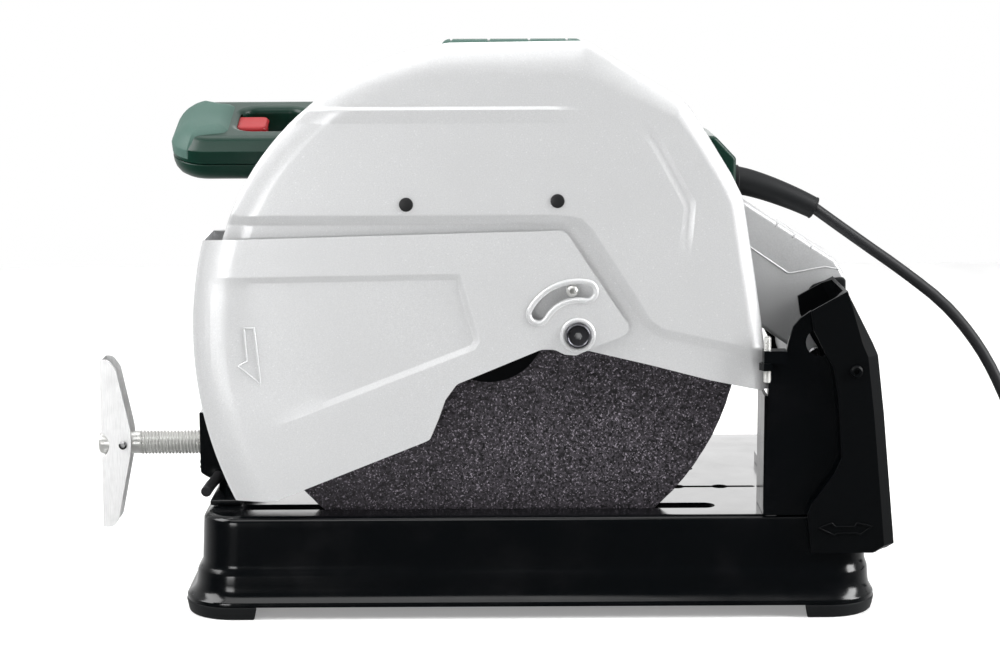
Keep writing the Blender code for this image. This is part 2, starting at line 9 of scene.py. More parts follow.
import bmesh
import bpy
import numpy as np
from mathutils import Matrix, Vector
from mathutils.geometry import delaunay_2d_cdt


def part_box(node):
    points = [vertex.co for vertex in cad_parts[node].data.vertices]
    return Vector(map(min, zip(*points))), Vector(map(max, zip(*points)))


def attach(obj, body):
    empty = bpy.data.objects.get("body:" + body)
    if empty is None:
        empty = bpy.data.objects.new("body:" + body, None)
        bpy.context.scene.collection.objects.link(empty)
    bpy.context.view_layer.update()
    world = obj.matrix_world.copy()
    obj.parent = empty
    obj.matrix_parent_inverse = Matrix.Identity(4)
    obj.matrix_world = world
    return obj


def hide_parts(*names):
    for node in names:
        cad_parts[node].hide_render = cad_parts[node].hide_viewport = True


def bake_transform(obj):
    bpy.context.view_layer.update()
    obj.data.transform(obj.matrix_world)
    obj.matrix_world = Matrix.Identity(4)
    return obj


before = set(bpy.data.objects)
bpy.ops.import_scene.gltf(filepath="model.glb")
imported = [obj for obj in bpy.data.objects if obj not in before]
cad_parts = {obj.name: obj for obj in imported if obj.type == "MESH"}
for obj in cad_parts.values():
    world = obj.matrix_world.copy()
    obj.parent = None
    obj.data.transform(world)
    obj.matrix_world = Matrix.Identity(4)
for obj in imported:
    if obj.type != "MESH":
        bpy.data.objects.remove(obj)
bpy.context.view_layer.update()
MM = 0.001


def middle(node):
    """The middle of a CAD node's box, in metres."""
    low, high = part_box(node)
    return (low + high) / 2


ORIGIN = Vector((middle("cutting_disc").x, middle("cutting_disc").y, 0))


def spot(node):
    """The middle of a CAD node's box, in millimetres from the origin."""
    return (middle(node) - ORIGIN) / MM


def row(point):
    """A point in the saw's millimetres as a point in the frame."""
    return ORIGIN + Vector(point) * MM


def flat(node):
    """X and Z of a node's middle."""
    at = spot(node)
    return (at.x, at.z)


def corners_of(node):
    """The lowest and highest corner of a CAD node's box, in millimetres."""
    return [(corner - ORIGIN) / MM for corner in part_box(node)]


SPINDLE = flat("cutting_disc")
PIVOT = flat("guard_pivot_bolt")
GUIDE_PIN = flat("guard_guide_pin")
TILT = flat("tilt_shaft")
MOTOR = flat("stator")
VISE = (spot("vise_spindle").y, spot("vise_spindle").z)
COIL_LOW, COIL_HIGH = corners_of("cord_coil")
COIL = (COIL_LOW.x + (COIL_HIGH.y - COIL_LOW.y) / 2, spot("cord_coil").y)

# ---- shapes, in millimetres ----


def place(u, v, w, axis):
    """A point w along an axis, with u and v across it."""
    if axis == "X":
        return Vector((w, u, v))
    if axis == "Y":
        return Vector((u, w, v))
    return Vector((u, v, w))


def arc(centre, radius, start, end, steps):
    """Points on an arc, from one angle in degrees to another."""
    angles = [math.radians(start + (end - start) * i / steps) for i in range(steps + 1)]
    return [(centre[0] + radius * math.cos(a), centre[1] + radius * math.sin(a)) for a in angles]


def circle(centre, radius, steps):
    return arc(centre, radius, 0, 360, steps)[:-1]


def at_angle(centre, radius, degrees):
    """The point on a circle at an angle."""
    return arc(centre, radius, degrees, degrees, 1)[0]


def rectangle(u0, u1, v0, v1):
    return [(u0, v0), (u1, v0), (u1, v1), (u0, v1)]


def rounded(u0, u1, v0, v1, radius, steps=6):
    """A rectangle with round corners, anticlockwise."""
    points = []
    for u, v, start in [(u1, v1, 0), (u0, v1, 90), (u0, v0, 180), (u1, v0, 270)]:
        centre = (u - radius if u == u1 else u + radius, v - radius if v == v1 else v + radius)
        points += arc(centre, radius, start, start + 90, steps)
    return points


def fillet(points, radius, steps=5):
    """An outline with its corners rounded off; radius is one number, or one for each corner."""
    made = []
    sizes = radius if isinstance(radius, list) else [radius] * len(points)
    for i, size in enumerate(sizes):
        here = Vector(points[i])
        before, after = Vector(points[i - 1]) - here, Vector(points[(i + 1) % len(points)]) - here
        turn = before.angle(after)
        reach = min(size / math.tan(turn / 2), 0.48 * before.length, 0.48 * after.length) if size else 0
        if reach < 0.05:
            made.append(tuple(here))
            continue
        one, two = here + before.normalized() * reach, here + after.normalized() * reach
        for k in range(steps + 1):
            t = k / steps
            made.append(tuple(one * (1 - t) ** 2 + here * 2 * t * (1 - t) + two * t * t))
    return made


def inset(points, by):
    """An anticlockwise outline moved inwards; by is one number, or one for each point."""
    moved = []
    for i, here in enumerate(points):
        before, after = Vector(points[i - 1]), Vector(points[(i + 1) % len(points)])
        one, two = (Vector(here) - before).normalized(), (after - Vector(here)).normalized()
        normal = Vector((-one.y - two.y, one.x + two.x)).normalized()
        pull = (by[i] if isinstance(by, list) else by) / max(0.35, normal.dot(Vector((-two.y, two.x))))
        moved.append((here[0] + normal.x * pull, here[1] + normal.y * pull))
    return moved


def anticlockwise(points):
    area = sum(a[0] * b[1] - b[0] * a[1] for a, b in zip(points, points[1:] + points[:1]))
    return points if area > 0 else points[::-1]


def even(points, step, closed=True):
    """The outline with extra points, so that none are further apart than a step."""
    made = []
    ends = points[1:] + (points[:1] if closed else [])
    for one, two in zip(points, ends):
        pieces = max(1, math.ceil((Vector(two) - Vector(one)).length / step))
        for i in range(pieces):
            made.append(tuple(Vector(one).lerp(Vector(two), i / pieces)))
    return made if closed else made + [points[-1]]


def tidy(shape):
    bmesh.ops.recalc_face_normals(shape, faces=shape.faces)
    return shape


def loft(rings, caps=True, closed=False):
    """A surface through rings of points that each have as many points."""
    shape = bmesh.new()
    made = [[shape.verts.new(Vector(p)) for p in ring] for ring in rings]
    pairs = list(zip(made, made[1:])) + ([(made[-1], made[0])] if closed else [])
    for low, high in pairs:
        for i in range(len(low)):
            j = (i + 1) % len(low)
            shape.faces.new((low[i], low[j], high[j], high[i]))
    if caps and not closed:
        shape.faces.new(made[0][::-1])
        shape.faces.new(made[-1])
    return tidy(shape)


def prism(points, low, high, axis="Y"):
    return loft([[place(u, v, w, axis) for u, v in points] for w in (low, high)])


def hexagon(centre, radius, low, high, axis="Y"):
    return prism(circle(centre, radius, 6), low, high, axis)


def stacked(outline, levels, axis="Z", narrow=inset):
    """A surface through copies of an outline: levels are (place along the axis, how far it is drawn in)."""
    return loft([[place(u, v, w, axis) for u, v in narrow(outline, by)] for w, by in levels])


def pillow(points, low, high, edge, axis="Y", steps=3):
    """A prism whose two ends have round edges."""
    points = anticlockwise(points)
    rings = []
    for k in range(steps + 1):
        turn = math.pi / 2 * k / steps
        rings.append((low + edge * (1 - math.sin(turn)), edge * (1 - math.cos(turn))))
    rings = rings[::-1] + [(high + low - w, pull) for w, pull in rings]
    return stacked(points, rings, axis)


def block(x, y, z, edge=0.0):
    """A box, with round edges if an edge radius is given."""
    shape = prism(rectangle(*x, *y), z[0], z[1], "Z")
    if edge:
        bmesh.ops.bevel(shape, geom=shape.edges[:], offset=edge, segments=3, profile=0.5, affect="EDGES")
    return shape


def turned(profile, centre, axis="Y", steps=48, ring=False):
    """A profile of (radius, place along the axis) turned about an axis; a ring joins its ends."""
    shape = bmesh.new()
    turns = []
    for radius, along in profile:
        ring_points = circle(centre, radius, steps) if radius > 1e-6 else [centre]
        turns.append([shape.verts.new(place(u, v, along, axis)) for u, v in ring_points])
    for one, two in list(zip(turns, turns[1:])) + ([(turns[-1], turns[0])] if ring else []):
        for i in range(steps):
            j = (i + 1) % steps
            corners = [one[i % len(one)], one[j % len(one)], two[j % len(two)], two[i % len(two)]]
            shape.faces.new(list(dict.fromkeys(corners)))
    if not ring:
        for end in (turns[0], turns[-1]):
            if len(end) > 1:
                shape.faces.new(end)
    return tidy(shape)


def rod(radius, low, high, centre, axis="Y", steps=32, edge=0.0):
    if not edge:
        return turned([(radius, low), (radius, high)], centre, axis, steps)
    profile = [(radius - edge, low), (radius, low + edge), (radius, high - edge), (radius - edge, high)]
    return turned(profile, centre, axis, steps)


def tube(inner, outer, low, high, centre, axis="Y", steps=48):
    return turned([(inner, low), (outer, low), (outer, high), (inner, high)], centre, axis, steps, ring=True)


def swept(path, radius, sides, closed=False):
    """A round bar along points; radius is one number, or one for each point."""
    spots = [Vector(p) for p in path]
    count = len(spots)
    rings = []
    across = None
    for i, here in enumerate(spots):
        before = spots[i - 1] if i or closed else here
        after = spots[(i + 1) % count] if i < count - 1 or closed else here
        run = (after - before).normalized()
        if across is None:
            across = run.orthogonal().normalized()
        across = (across - run * across.dot(run)).normalized()
        up = run.cross(across)
        size = radius[i] if isinstance(radius, list) else radius
        turns = [2 * math.pi * k / sides for k in range(sides)]
        rings.append([here + across * size * math.cos(a) + up * size * math.sin(a) for a in turns])
    return loft(rings, closed=closed)


def smooth_line(route, step):
    """Points along a smooth curve through the route's points."""
    spots = [Vector(p) for p in route]
    ends = [spots[0] * 2 - spots[1]] + spots + [spots[-1] * 2 - spots[-2]]
    line = [spots[0]]
    for before, one, two, after in zip(ends, ends[1:], ends[2:], ends[3:]):
        pieces = max(1, round((two - one).length / step))
        for i in range(1, pieces + 1):
            t = i / pieces
            square = (2 * before - 5 * one + 4 * two - after) * t * t
            cube = (3 * (one - two) + after - before) * t ** 3
            line.append(one + ((two - before) * t + (square + cube)) / 2)
    return line


def eased(value):
    """0 below 0, 1 above 1, and smooth between."""
    t = np.clip(value, 0, 1)
    return t * t * (3 - 2 * t)


def joined(*shapes):
    """Several shapes as one mesh."""
    whole = bmesh.new()
    for shape in shapes:
        part = bpy.data.meshes.new("part")
        shape.to_mesh(part)
        shape.free()
        whole.from_mesh(part)
        bpy.data.meshes.remove(part)
    return whole


def shifted(shape, matrix):
    shape.transform(matrix)
    return shape


# ---- pieces ----

BEVEL_ANGLE = 40  # degrees


def mesh_of(name, shape):
    """A mesh in metres, in the frame, from a shape in millimetres."""
    shape.transform(Matrix.Translation(ORIGIN) @ Matrix.Scale(MM, 4))
    mesh = bpy.data.meshes.new(name)
    shape.to_mesh(mesh)
    shape.free()
    return mesh


def linked(name, mesh):
    made = bpy.data.objects.new(name, mesh)
    bpy.context.scene.collection.objects.link(made)
    return made


def settle(thing):
    """Applies an object's modifiers to its mesh."""
    bpy.context.view_layer.update()
    held = thing.evaluated_get(bpy.context.evaluated_depsgraph_get())
    mesh = bpy.data.meshes.new_from_object(held)
    mesh.name = thing.name
    thing.modifiers.clear()
    thing.data = mesh


def boolean(thing, shape, operation):
    """Adds a shape to an object's mesh, or cuts it out."""
    tool = linked("tool", mesh_of("tool", shape))
    step = thing.modifiers.new("boolean", "BOOLEAN")
    step.operation = operation
    step.solver = "EXACT"
    step.object = tool
    settle(thing)
    bpy.data.objects.remove(tool)


def bevel(thing, width, segments):
    """Round edges where faces meet at a sharp angle."""
    step = thing.modifiers.new("edge", "BEVEL")
    step.width = width * MM
    step.segments = segments
    step.limit_method = "ANGLE"
    step.angle_limit = math.radians(BEVEL_ANGLE)


def piece(name, shape, finish, body, stands_for="", cuts=(), adds=(), edge=0.0, wall=0.0, angle=32):
    """A named piece with its material, which moves with a body and may stand for a CAD node."""
    made = linked(name, mesh_of(name, shape))
    if wall:
        step = made.modifiers.new("wall", "SOLIDIFY")
        step.thickness = wall * MM
        step.offset = -1
        step.use_even_offset = True
        step.thickness_clamp = 1.5
        settle(made)
    for other in adds:
        boolean(made, other, "UNION")
    for other in cuts:
        boolean(made, other, "DIFFERENCE")
    if edge:
        bevel(made, edge, 3)
        settle(made)
    dress(made, finish, angle)
    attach(made, body)
    if stands_for:
        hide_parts(stands_for)


def dress(thing, finish, angle=32):
    """Gives a piece its material and smooth shading that keeps its edges."""
    mesh = thing.data
    mesh.materials.clear()
    mesh.materials.append(MATERIALS[finish])
    mesh.shade_smooth()
    mesh.set_sharp_from_angle(angle=math.radians(angle))
    step = thing.modifiers.new("normals", "WEIGHTED_NORMAL")
    step.keep_sharp = True


def keep(finish, *nodes, edge=0.4):
    """CAD nodes whose shape is right: a material and slightly round edges."""
    for name in nodes:
        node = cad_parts[name]
        if edge:
            bevel(node, edge, 2)
        for slot in node.material_slots:
            slot.material = MATERIALS[finish]
        if not node.material_slots:
            node.data.materials.append(MATERIALS[finish])


# ---- materials ----


def map_range(tree, value, low, high, to_low, to_high):
    """A value between low and high, stretched to a new range."""
    node = tree.nodes.new("ShaderNodeMapRange")
    for name, number in zip(("From Min", "From Max", "To Min", "To Max"), (low, high, to_low, to_high)):
        node.inputs[name].default_value = number
    tree.links.new(value, node.inputs["Value"])
    return node.outputs["Result"]


class Paint:
    """A material's nodes, with short calls for what several materials share."""

    def __init__(self, name, colour, roughness, metallic=0.0, specular=0.5):
        self.made = bpy.data.materials.new(name)
        self.made.use_nodes = True
        self.nodes = self.made.node_tree.nodes
        self.links = self.made.node_tree.links
        self.shader = self.nodes["Principled BSDF"]
        self.set("Base Color", (*colour, 1))
        self.set("Roughness", roughness)
        self.set("Metallic", metallic)
        self.set("Specular IOR Level", specular)
        self.where = self.nodes.new("ShaderNodeTexCoord").outputs["Object"]
        self.last_bump = None
        self.made.diffuse_color = (*colour, 1)

    def set(self, socket, value):
        self.shader.inputs[socket].default_value = value

    def join(self, one, two):
        self.links.new(one, two)

    def noise(self, size_mm, detail, rough=0.5, stretch=(1, 1, 1)):
        """Noise whose lumps are about as big as the size."""
        mapping = self.nodes.new("ShaderNodeMapping")
        mapping.inputs["Scale"].default_value = [s / (size_mm * MM) for s in stretch]
        self.join(self.where, mapping.inputs["Vector"])
        node = self.nodes.new("ShaderNodeTexNoise")
        node.inputs["Scale"].default_value = 1.0
        node.inputs["Detail"].default_value = detail
        node.inputs["Roughness"].default_value = rough
        self.join(mapping.outputs["Vector"], node.inputs["Vector"])
        return node.outputs["Fac"]

    def cells(self, size_mm):
        """Cells about as big as the size, each with its own random value."""
        node = self.nodes.new("ShaderNodeTexVoronoi")
        node.inputs["Scale"].default_value = 1 / (size_mm * MM)
        self.join(self.where, node.inputs["Vector"])
        return node.outputs["Color"]

    def bands(self, size_mm):
        """Parallel lines across Y, a distance apart."""
        node = self.nodes.new("ShaderNodeTexWave")
        node.bands_direction = "Y"
        node.inputs["Scale"].default_value = 0.314 / (size_mm * MM)
        node.inputs["Distortion"].default_value = 0.0
        self.join(self.where, node.inputs["Vector"])
        return node.outputs["Fac"]

    def spread(self, value, low, high, to_low=0.0, to_high=1.0):
        return map_range(self.made.node_tree, value, low, high, to_low, to_high)

    def mix(self, share, one, two):
        """One colour changing to another by a share; each is a colour or a socket."""
        node = self.nodes.new("ShaderNodeMix")
        node.data_type = "RGBA"
        self.join(share, node.inputs["Factor"])
        for socket, value in ((node.inputs["A"], one), (node.inputs["B"], two)):
            if isinstance(value, tuple):
                socket.default_value = (*value, 1)
            else:
                self.join(value, socket)
        return node.outputs["Result"]

    def tint(self, value):
        self.join(value, self.shader.inputs["Base Color"])

    def rough(self, value):
        self.join(value, self.shader.inputs["Roughness"])

    def bump(self, height, depth_mm, strength):
        node = self.nodes.new("ShaderNodeBump")
        node.inputs["Distance"].default_value = depth_mm * MM
        node.inputs["Strength"].default_value = strength
        self.join(height, node.inputs["Height"])
        if self.last_bump:
            self.join(self.last_bump, node.inputs["Normal"])
        self.last_bump = node.outputs["Normal"]
        self.join(self.last_bump, self.shader.inputs["Normal"])


def shade(colour, by):
    return tuple(min(1.0, c * by) for c in colour)


def speckled(name, colour, roughness, grain_mm, contrast, depth_mm, metallic=0.0, specular=0.5):
    """A finish with fine grain in its colour and its surface, and slow changes over its area."""
    paint = Paint(name, colour, roughness, metallic, specular)
    grain = paint.noise(grain_mm, 3.0, 0.6)
    slow = paint.noise(60, 2.0)
    fine = paint.mix(paint.spread(grain, 0.3, 0.7), shade(colour, 1 - contrast), shade(colour, 1 + contrast))
    worn = paint.mix(paint.spread(slow, 0.35, 0.7), fine, shade(colour, 1 - contrast * 0.6))
    paint.tint(worn)
    paint.rough(paint.spread(slow, 0.3, 0.7, roughness * 0.88, roughness * 1.14))
    paint.bump(grain, depth_mm, 0.6)
    return paint


def silver_paint():
    """Metallic paint with fine flakes that catch the light one by one."""
    colour = (0.66, 0.665, 0.67)
    paint = Paint("silver_paint", colour, 0.36, 0.42)
    paint.set("Coat Weight", 0.15)
    paint.set("Coat Roughness", 0.12)
    grain = paint.noise(0.9, 3.0, 0.65)
    flakes = paint.cells(0.75)
    slow = paint.noise(70, 2.0)
    body = paint.mix(paint.spread(grain, 0.3, 0.7), shade(colour, 0.93), shade(colour, 1.07))
    body = paint.mix(paint.spread(flakes, 0.86, 0.95, 0.0, 0.5), body, (0.86, 0.86, 0.87))
    body = paint.mix(paint.spread(slow, 0.4, 0.75, 0.0, 0.5), body, shade(colour, 0.95))
    paint.tint(body)
    paint.rough(paint.spread(flakes, 0.1, 0.9, 0.32, 0.44))
    paint.bump(grain, 0.05, 0.5)
    paint.bump(paint.noise(2.4, 2.0), 0.05, 0.35)
    return paint


def abrasive():
    """Pressed grit in dark resin: lumps and colour from grain to grain, with painted glints on the highest
    lumps and painted shade in the lowest.
    """
    paint = Paint("abrasive", (0.035, 0.03, 0.034), 0.72, specular=0.45)
    grit = paint.cells(1.5)
    fine = paint.noise(1.3, 2.0, 0.6)
    body = paint.mix(paint.spread(grit, 0.2, 0.8), (0.006, 0.005, 0.007), (0.05, 0.043, 0.053))
    # painted glints: the highest lumps of the bump are painted light grey
    body = paint.mix(paint.spread(fine, 0.6, 0.68), body, (0.24, 0.215, 0.25))
    # painted shade: the lowest spots of the bump are painted near black
    body = paint.mix(paint.spread(fine, 0.42, 0.32, 0.0, 0.8), body, (0.004, 0.004, 0.005))
    paint.tint(body)
    paint.rough(paint.spread(grit, 0.0, 1.0, 0.4, 0.9))
    paint.bump(fine, 0.5, 0.6)
    return paint


def gloss_black():
    """Black stove enamel with a faint orange peel."""
    colour = (0.0015, 0.002, 0.0025)
    paint = Paint("black_paint", colour, 0.17, specular=0.42)
    peel = paint.noise(3.2, 2.0)
    dust = paint.noise(38, 4.0, 0.6)
    paint.tint(paint.mix(paint.spread(dust, 0.5, 0.8, 0.0, 0.5), colour, (0.005, 0.005, 0.006)))
    paint.rough(paint.spread(dust, 0.35, 0.75, 0.14, 0.24))
    paint.bump(peel, 0.03, 0.25)
    return paint


def brushed(name, colour, roughness, across, size_mm=0.35, metallic=1.0):
    """Ground or drawn metal with fine lines that run one way."""
    paint = Paint(name, colour, roughness, metallic)
    stretch = [0.04 if axis == across else 1.0 for axis in "XYZ"]
    lines = paint.noise(size_mm, 3.0, 0.6, stretch)
    stain = paint.noise(14, 3.0)
    fine = paint.mix(paint.spread(lines, 0.3, 0.7), shade(colour, 0.86), shade(colour, 1.08))
    paint.tint(paint.mix(paint.spread(stain, 0.45, 0.75, 0.0, 0.6), fine, shade(colour, 0.8)))
    paint.rough(paint.spread(stain, 0.3, 0.7, roughness * 0.8, roughness * 1.25))
    paint.bump(lines, 0.03, 0.4)
    return paint


def laminated():
    """A stack of thin steel sheets, seen from the side."""
    paint = Paint("laminated", (0.32, 0.32, 0.33), 0.4, 1.0)
    lines = paint.bands(0.6)
    paint.tint(paint.mix(lines, (0.16, 0.16, 0.165), (0.42, 0.42, 0.43)))
    paint.bump(lines, 0.15, 0.8)
    return paint


# For each finish, a slot name and the paint.
FINISHES = {
    "silver": ("silver_paint", silver_paint()),
    "casting": ("silver_casting",
                speckled("silver_casting", (0.6, 0.605, 0.61), 0.4, 1.3, 0.09, 0.12, metallic=0.4)),
    "gloss": ("black_paint", gloss_black()),
    "satin": ("black_paint",
              speckled("black_satin", (0.002, 0.0025, 0.003), 0.36, 1.1, 0.25, 0.05, specular=0.12)),
    "green": ("green_plastic",
              speckled("green_plastic", (0.0005, 0.026, 0.0155), 0.36, 0.7, 0.14, 0.05, specular=0.4)),
    # The soft grip's colour is lighter than the hard green plastic: painted sheen.
    "grip": ("green_plastic", speckled("green_grip_painted_sheen", (0.055, 0.12, 0.098), 0.62, 0.8, 0.1, 0.09)),
    "red": ("red_plastic",
            speckled("red_plastic", (0.36, 0.012, 0.016), 0.4, 0.7, 0.08, 0.04, specular=0.35)),
    "plastic": ("black_plastic", speckled("black_plastic", (0.011, 0.011, 0.012), 0.46, 0.8, 0.2, 0.06)),
    "rubber": ("rubber", speckled("rubber", (0.006, 0.007, 0.008), 0.6, 0.9, 0.22, 0.07, specular=0.3)),
    "cable": ("rubber",
              speckled("cable_rubber", (0.014, 0.0145, 0.016), 0.5, 0.8, 0.2, 0.06, specular=0.35)),
    "abrasive": ("abrasive", abrasive()),
    "zinc": ("zinc", brushed("zinc", (0.7, 0.7, 0.68), 0.3, "X", metallic=0.6)),
    # Near white and mostly matt, so the wing reads white: painted reflection of the white surroundings, over
    # the zinc plate's own light colour.
    "plate": ("zinc", brushed("zinc_plate_painted_reflection", (0.84, 0.84, 0.84), 0.4, "Z", 0.5, 0.25)),
    "steel": ("steel", brushed("steel", (0.52, 0.52, 0.53), 0.24, "Y")),
    "spring": ("steel", brushed("spring_steel", (0.2, 0.2, 0.22), 0.32, "Z")),
    "copper": ("copper", brushed("copper", (0.75, 0.3, 0.14), 0.3, "Y")),
    "laminated": ("steel", laminated()),
}
MATERIALS = {finish: paint.made for finish, (_, paint) in FINISHES.items()}

# ---- camera, lights and floor ----

CAMERA_AT = (7, -1601, 465)
CAMERA_LENS = 82.8
CAMERA_DOWN = 9.5  # degrees
CAMERA_TURN = 0.04
CAMERA_ROLL = -0.27

# Each area light: where it is, its size in metres, its power, and what it points at.
LIGHTS = {
    "key": ((-1700, -350, 1500), (1.3, 1.3), 38, (0, 0, 200)),
    "overhead": ((100, 150, 1900), (2.2, 1.4), 19, (0, 0, 200)),
    "high_front": ((-500, -1500, 2000), (1.6, 1.0), 12, (0, 0, 200)),
    "low_left": ((-850, -1650, 170), (0.6, 0.3), 5, (-280, 60, 104)),
    "right": ((1700, -500, 900), (0.7, 1.5), 42, (0, 0, 200)),
}
SKY_SEEN = 1.0  # the strength of the surroundings for the camera
SKY_SOFT = 0.3  # and for matt surfaces
HORIZON = (0.02, 0.98, 0.2)  # the direction of the bright band that gloss reflects
FLOOR = (-2500, 2500, -1500, 1800)
FLOOR_GLOW = 0.25
FLOOR_GAP = 0.2  # how far the floor is below the feet


def make_camera():
    data = bpy.data.cameras.new("camera")
    data.lens = CAMERA_LENS
    data.sensor_width = 36
    camera = linked("camera", data)
    turn = Matrix.Rotation(-math.radians(CAMERA_TURN), 4, "Z")
    tilt = Matrix.Rotation(math.radians(90 - CAMERA_DOWN), 4, "X")
    roll = Matrix.Rotation(math.radians(CAMERA_ROLL), 4, "Z")
    camera.matrix_world = Matrix.Translation(row(CAMERA_AT)) @ turn @ tilt @ roll
    bpy.context.scene.camera = camera


def make_lights():
    for name, (at, size, watts, towards) in LIGHTS.items():
        data = bpy.data.lights.new(name, "AREA")
        data.shape = "RECTANGLE"
        data.size, data.size_y = size
        data.energy = watts
        light = linked(name, data)
        light.location = row(at)
        light.rotation_mode = "QUATERNION"
        light.rotation_quaternion = (row(towards) - light.location).to_track_quat("-Z", "Y")
        light.visible_camera = False


def gloss_strength(tree):
    """What gloss reflects: brighter towards the back, with a bright band low down behind."""
    nodes, links = tree.nodes, tree.links
    sky = nodes.new("ShaderNodeTexCoord").outputs["Generated"]
    parts = nodes.new("ShaderNodeSeparateXYZ")
    links.new(sky, parts.inputs["Vector"])
    horizon = nodes.new("ShaderNodeVectorMath")
    horizon.operation = "DOT_PRODUCT"
    links.new(sky, horizon.inputs[0])
    horizon.inputs[1].default_value = HORIZON
    both = nodes.new("ShaderNodeMath")
    links.new(map_range(tree, parts.outputs["Y"], -0.25, 0.7, 0.03, 0.8), both.inputs[0])
    links.new(map_range(tree, horizon.outputs["Value"], 0.94, 0.98, 0.0, 1.7), both.inputs[1])
    return both.outputs[0]


def make_world():
    """White surroundings whose strength depends on what the ray is for."""
    world = bpy.data.worlds.new("studio")
    world.use_nodes = True
    tree = world.node_tree
    nodes, links = tree.nodes, tree.links
    glow = nodes["Background"]
    glow.inputs["Color"].default_value = (1, 1, 1, 1)
    ray = nodes.new("ShaderNodeLightPath").outputs
    mirrored, seen = nodes.new("ShaderNodeMix"), nodes.new("ShaderNodeMix")
    links.new(ray["Is Glossy Ray"], mirrored.inputs["Factor"])
    mirrored.inputs["A"].default_value = SKY_SOFT
    links.new(gloss_strength(tree), mirrored.inputs["B"])
    links.new(ray["Is Camera Ray"], seen.inputs["Factor"])
    links.new(mirrored.outputs["Result"], seen.inputs["A"])
    seen.inputs["B"].default_value = SKY_SEEN
    links.new(seen.outputs["Result"], glow.inputs["Strength"])
    bpy.context.scene.world = world
    bpy.context.scene.view_settings.view_transform = "Standard"


def make_floor():
    shape = bmesh.new()
    shape.faces.new([shape.verts.new((x, y, 0)) for x, y in rectangle(*FLOOR)])
    floor = linked("floor", mesh_of("floor", shape))
    floor.location.z = -FLOOR_GAP * MM
    paint = speckled("floor_paint", (0.93, 0.93, 0.93), 0.6, 6.0, 0.01, 0.02)
    floor.data.materials.append(paint.made)
    paint.set("Emission Color", (1, 1, 1, 1))
    paint.set("Emission Strength", FLOOR_GLOW)
    floor.visible_glossy = False


# ---- cord ----

CORD_R = 4.25
TURN_GAP = 8.6  # between the middles of turns that lie side by side
INNER_TURN = 42.4
START_ANGLE = -100.0  # degrees
COIL_TURNS = 6 + 100 / 360
COIL_STEPS = 36  # points in each turn
COIL_GAP = 0.4  # between the floor and the lowest turns
CORD_ROUTE = [(240.2, 80, 275.5), (259, 80, 262), (283, 80, 245), (307, 80, 228), (339, 80, 202),
              (366, 79, 168), (386, 77, 128), (400, 73, 88), (413, 68, 52), (427, 63, 24), (442, 60, 9.5),
              (460, 58.3, 4.8), (478, 56.3, 4.6)]
PLUG_AXIS = 14
CORD_TAIL = ((8, 5.2), (18, 8.6), (27, 12.4), (36, PLUG_AXIS))  # beyond the coil, and up


def coil_turns():
    """Three turns inwards on the floor, three outwards on top of them, and part of one down outside."""
    points = []
    for i in range(round(COIL_TURNS * COIL_STEPS) + 1):
        turn = i / COIL_STEPS
        whole = int(turn)
        shift = eased((turn - whole - 0.6) / 0.4)
        if turn < 2:
            lane = 2 - (whole + shift)
        elif turn < 3:
            lane = 0
        elif turn < 6:
            lane = whole - 3 + (shift if turn < 5 else 0)
        else:
            lane = 2 + eased((turn - 6.0) / 0.3)
        level = eased((turn - 2.66) / 0.32) - eased((turn - 6.0) / 0.26)
        x, y = at_angle(COIL, INNER_TURN + TURN_GAP * lane, START_ANGLE + 360 * turn)
        points.append(Vector((x, y, CORD_R + COIL_GAP + TURN_GAP * level)))
    return points


def make_cord():
    coil = coil_turns()
    tail = [Vector((coil[-1].x, coil[-1].y + beyond, up)) for beyond, up in CORD_TAIL]
    line = smooth_line(CORD_ROUTE, 12) + coil + tail
    cord = linked("mains_cord", mesh_of("mains_cord", swept(line, CORD_R, 24)))
    dress(cord, "cable")
    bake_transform(cord)
    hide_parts("cord_lead", "cord_coil")
    return cord, [row(point) for point in line]


# ---- pressed sheets ----


def nearest_edge(points, one, run):
    """How far each point is from the nearest of several edges, each a start and a run."""
    here = points[:, None, :]
    along = np.clip(((here - one) * run).sum(2) / (run ** 2).sum(1), 0, 1)
    return np.linalg.norm(here - (one + along[..., None] * run), axis=2).min(1)


def depth_in(points, outline):
    """How far each point is inside an outline; negative outside it."""
    one = np.array(outline, float)
    two = np.roll(one, -1, axis=0)
    run = two - one
    here = points[:, None, :]
    gap = nearest_edge(points, one, run)
    rise = np.where(np.abs(run[:, 1]) < 1e-9, 1e-9, run[:, 1])
    level = (one[:, 1] > here[..., 1]) != (two[:, 1] > here[..., 1])
    left = here[..., 0] < run[:, 0] * (here[..., 1] - one[:, 1]) / rise + one[:, 0]
    return np.where((level & left).sum(1) % 2 == 1, gap, -gap)


def gap_to(points, line):
    """How far each point is from an open line."""
    spots = np.array(line, float)
    return nearest_edge(points, spots[:-1], spots[1:] - spots[:-1])


BEND_LEVELS = (0, 0.1, 0.22, 0.78, 0.9, 1)


def bend(share):
    """A fold from 0 to 1: a straight slope with a small radius at each end."""
    return np.interp(share, BEND_LEVELS, [0, 0.03, 0.12, 0.88, 0.97, 1])


def inset_edges(points, by):
    """A convex anticlockwise outline with each edge moved inwards by its own amount."""
    lines = []
    for i, here in enumerate(points):
        run = (Vector(points[(i + 1) % len(points)]) - Vector(here)).normalized()
        lines.append((Vector(here) + Vector((-run.y, run.x)) * by[i], run))
    made = []
    for (one, u), (two, v) in zip(lines[-1:] + lines[:-1], lines):
        made.append(tuple(one + u * ((two - one).cross(v) / u.cross(v))))
    return made


def beside(line, by):
    """An open line moved to its left."""
    made = []
    for i, here in enumerate(line):
        run = Vector(line[min(i + 1, len(line) - 1)]) - Vector(line[max(i - 1, 0)])
        normal = Vector((-run.y, run.x)).normalized()
        made.append(tuple(Vector(here) + normal * by))
    return made


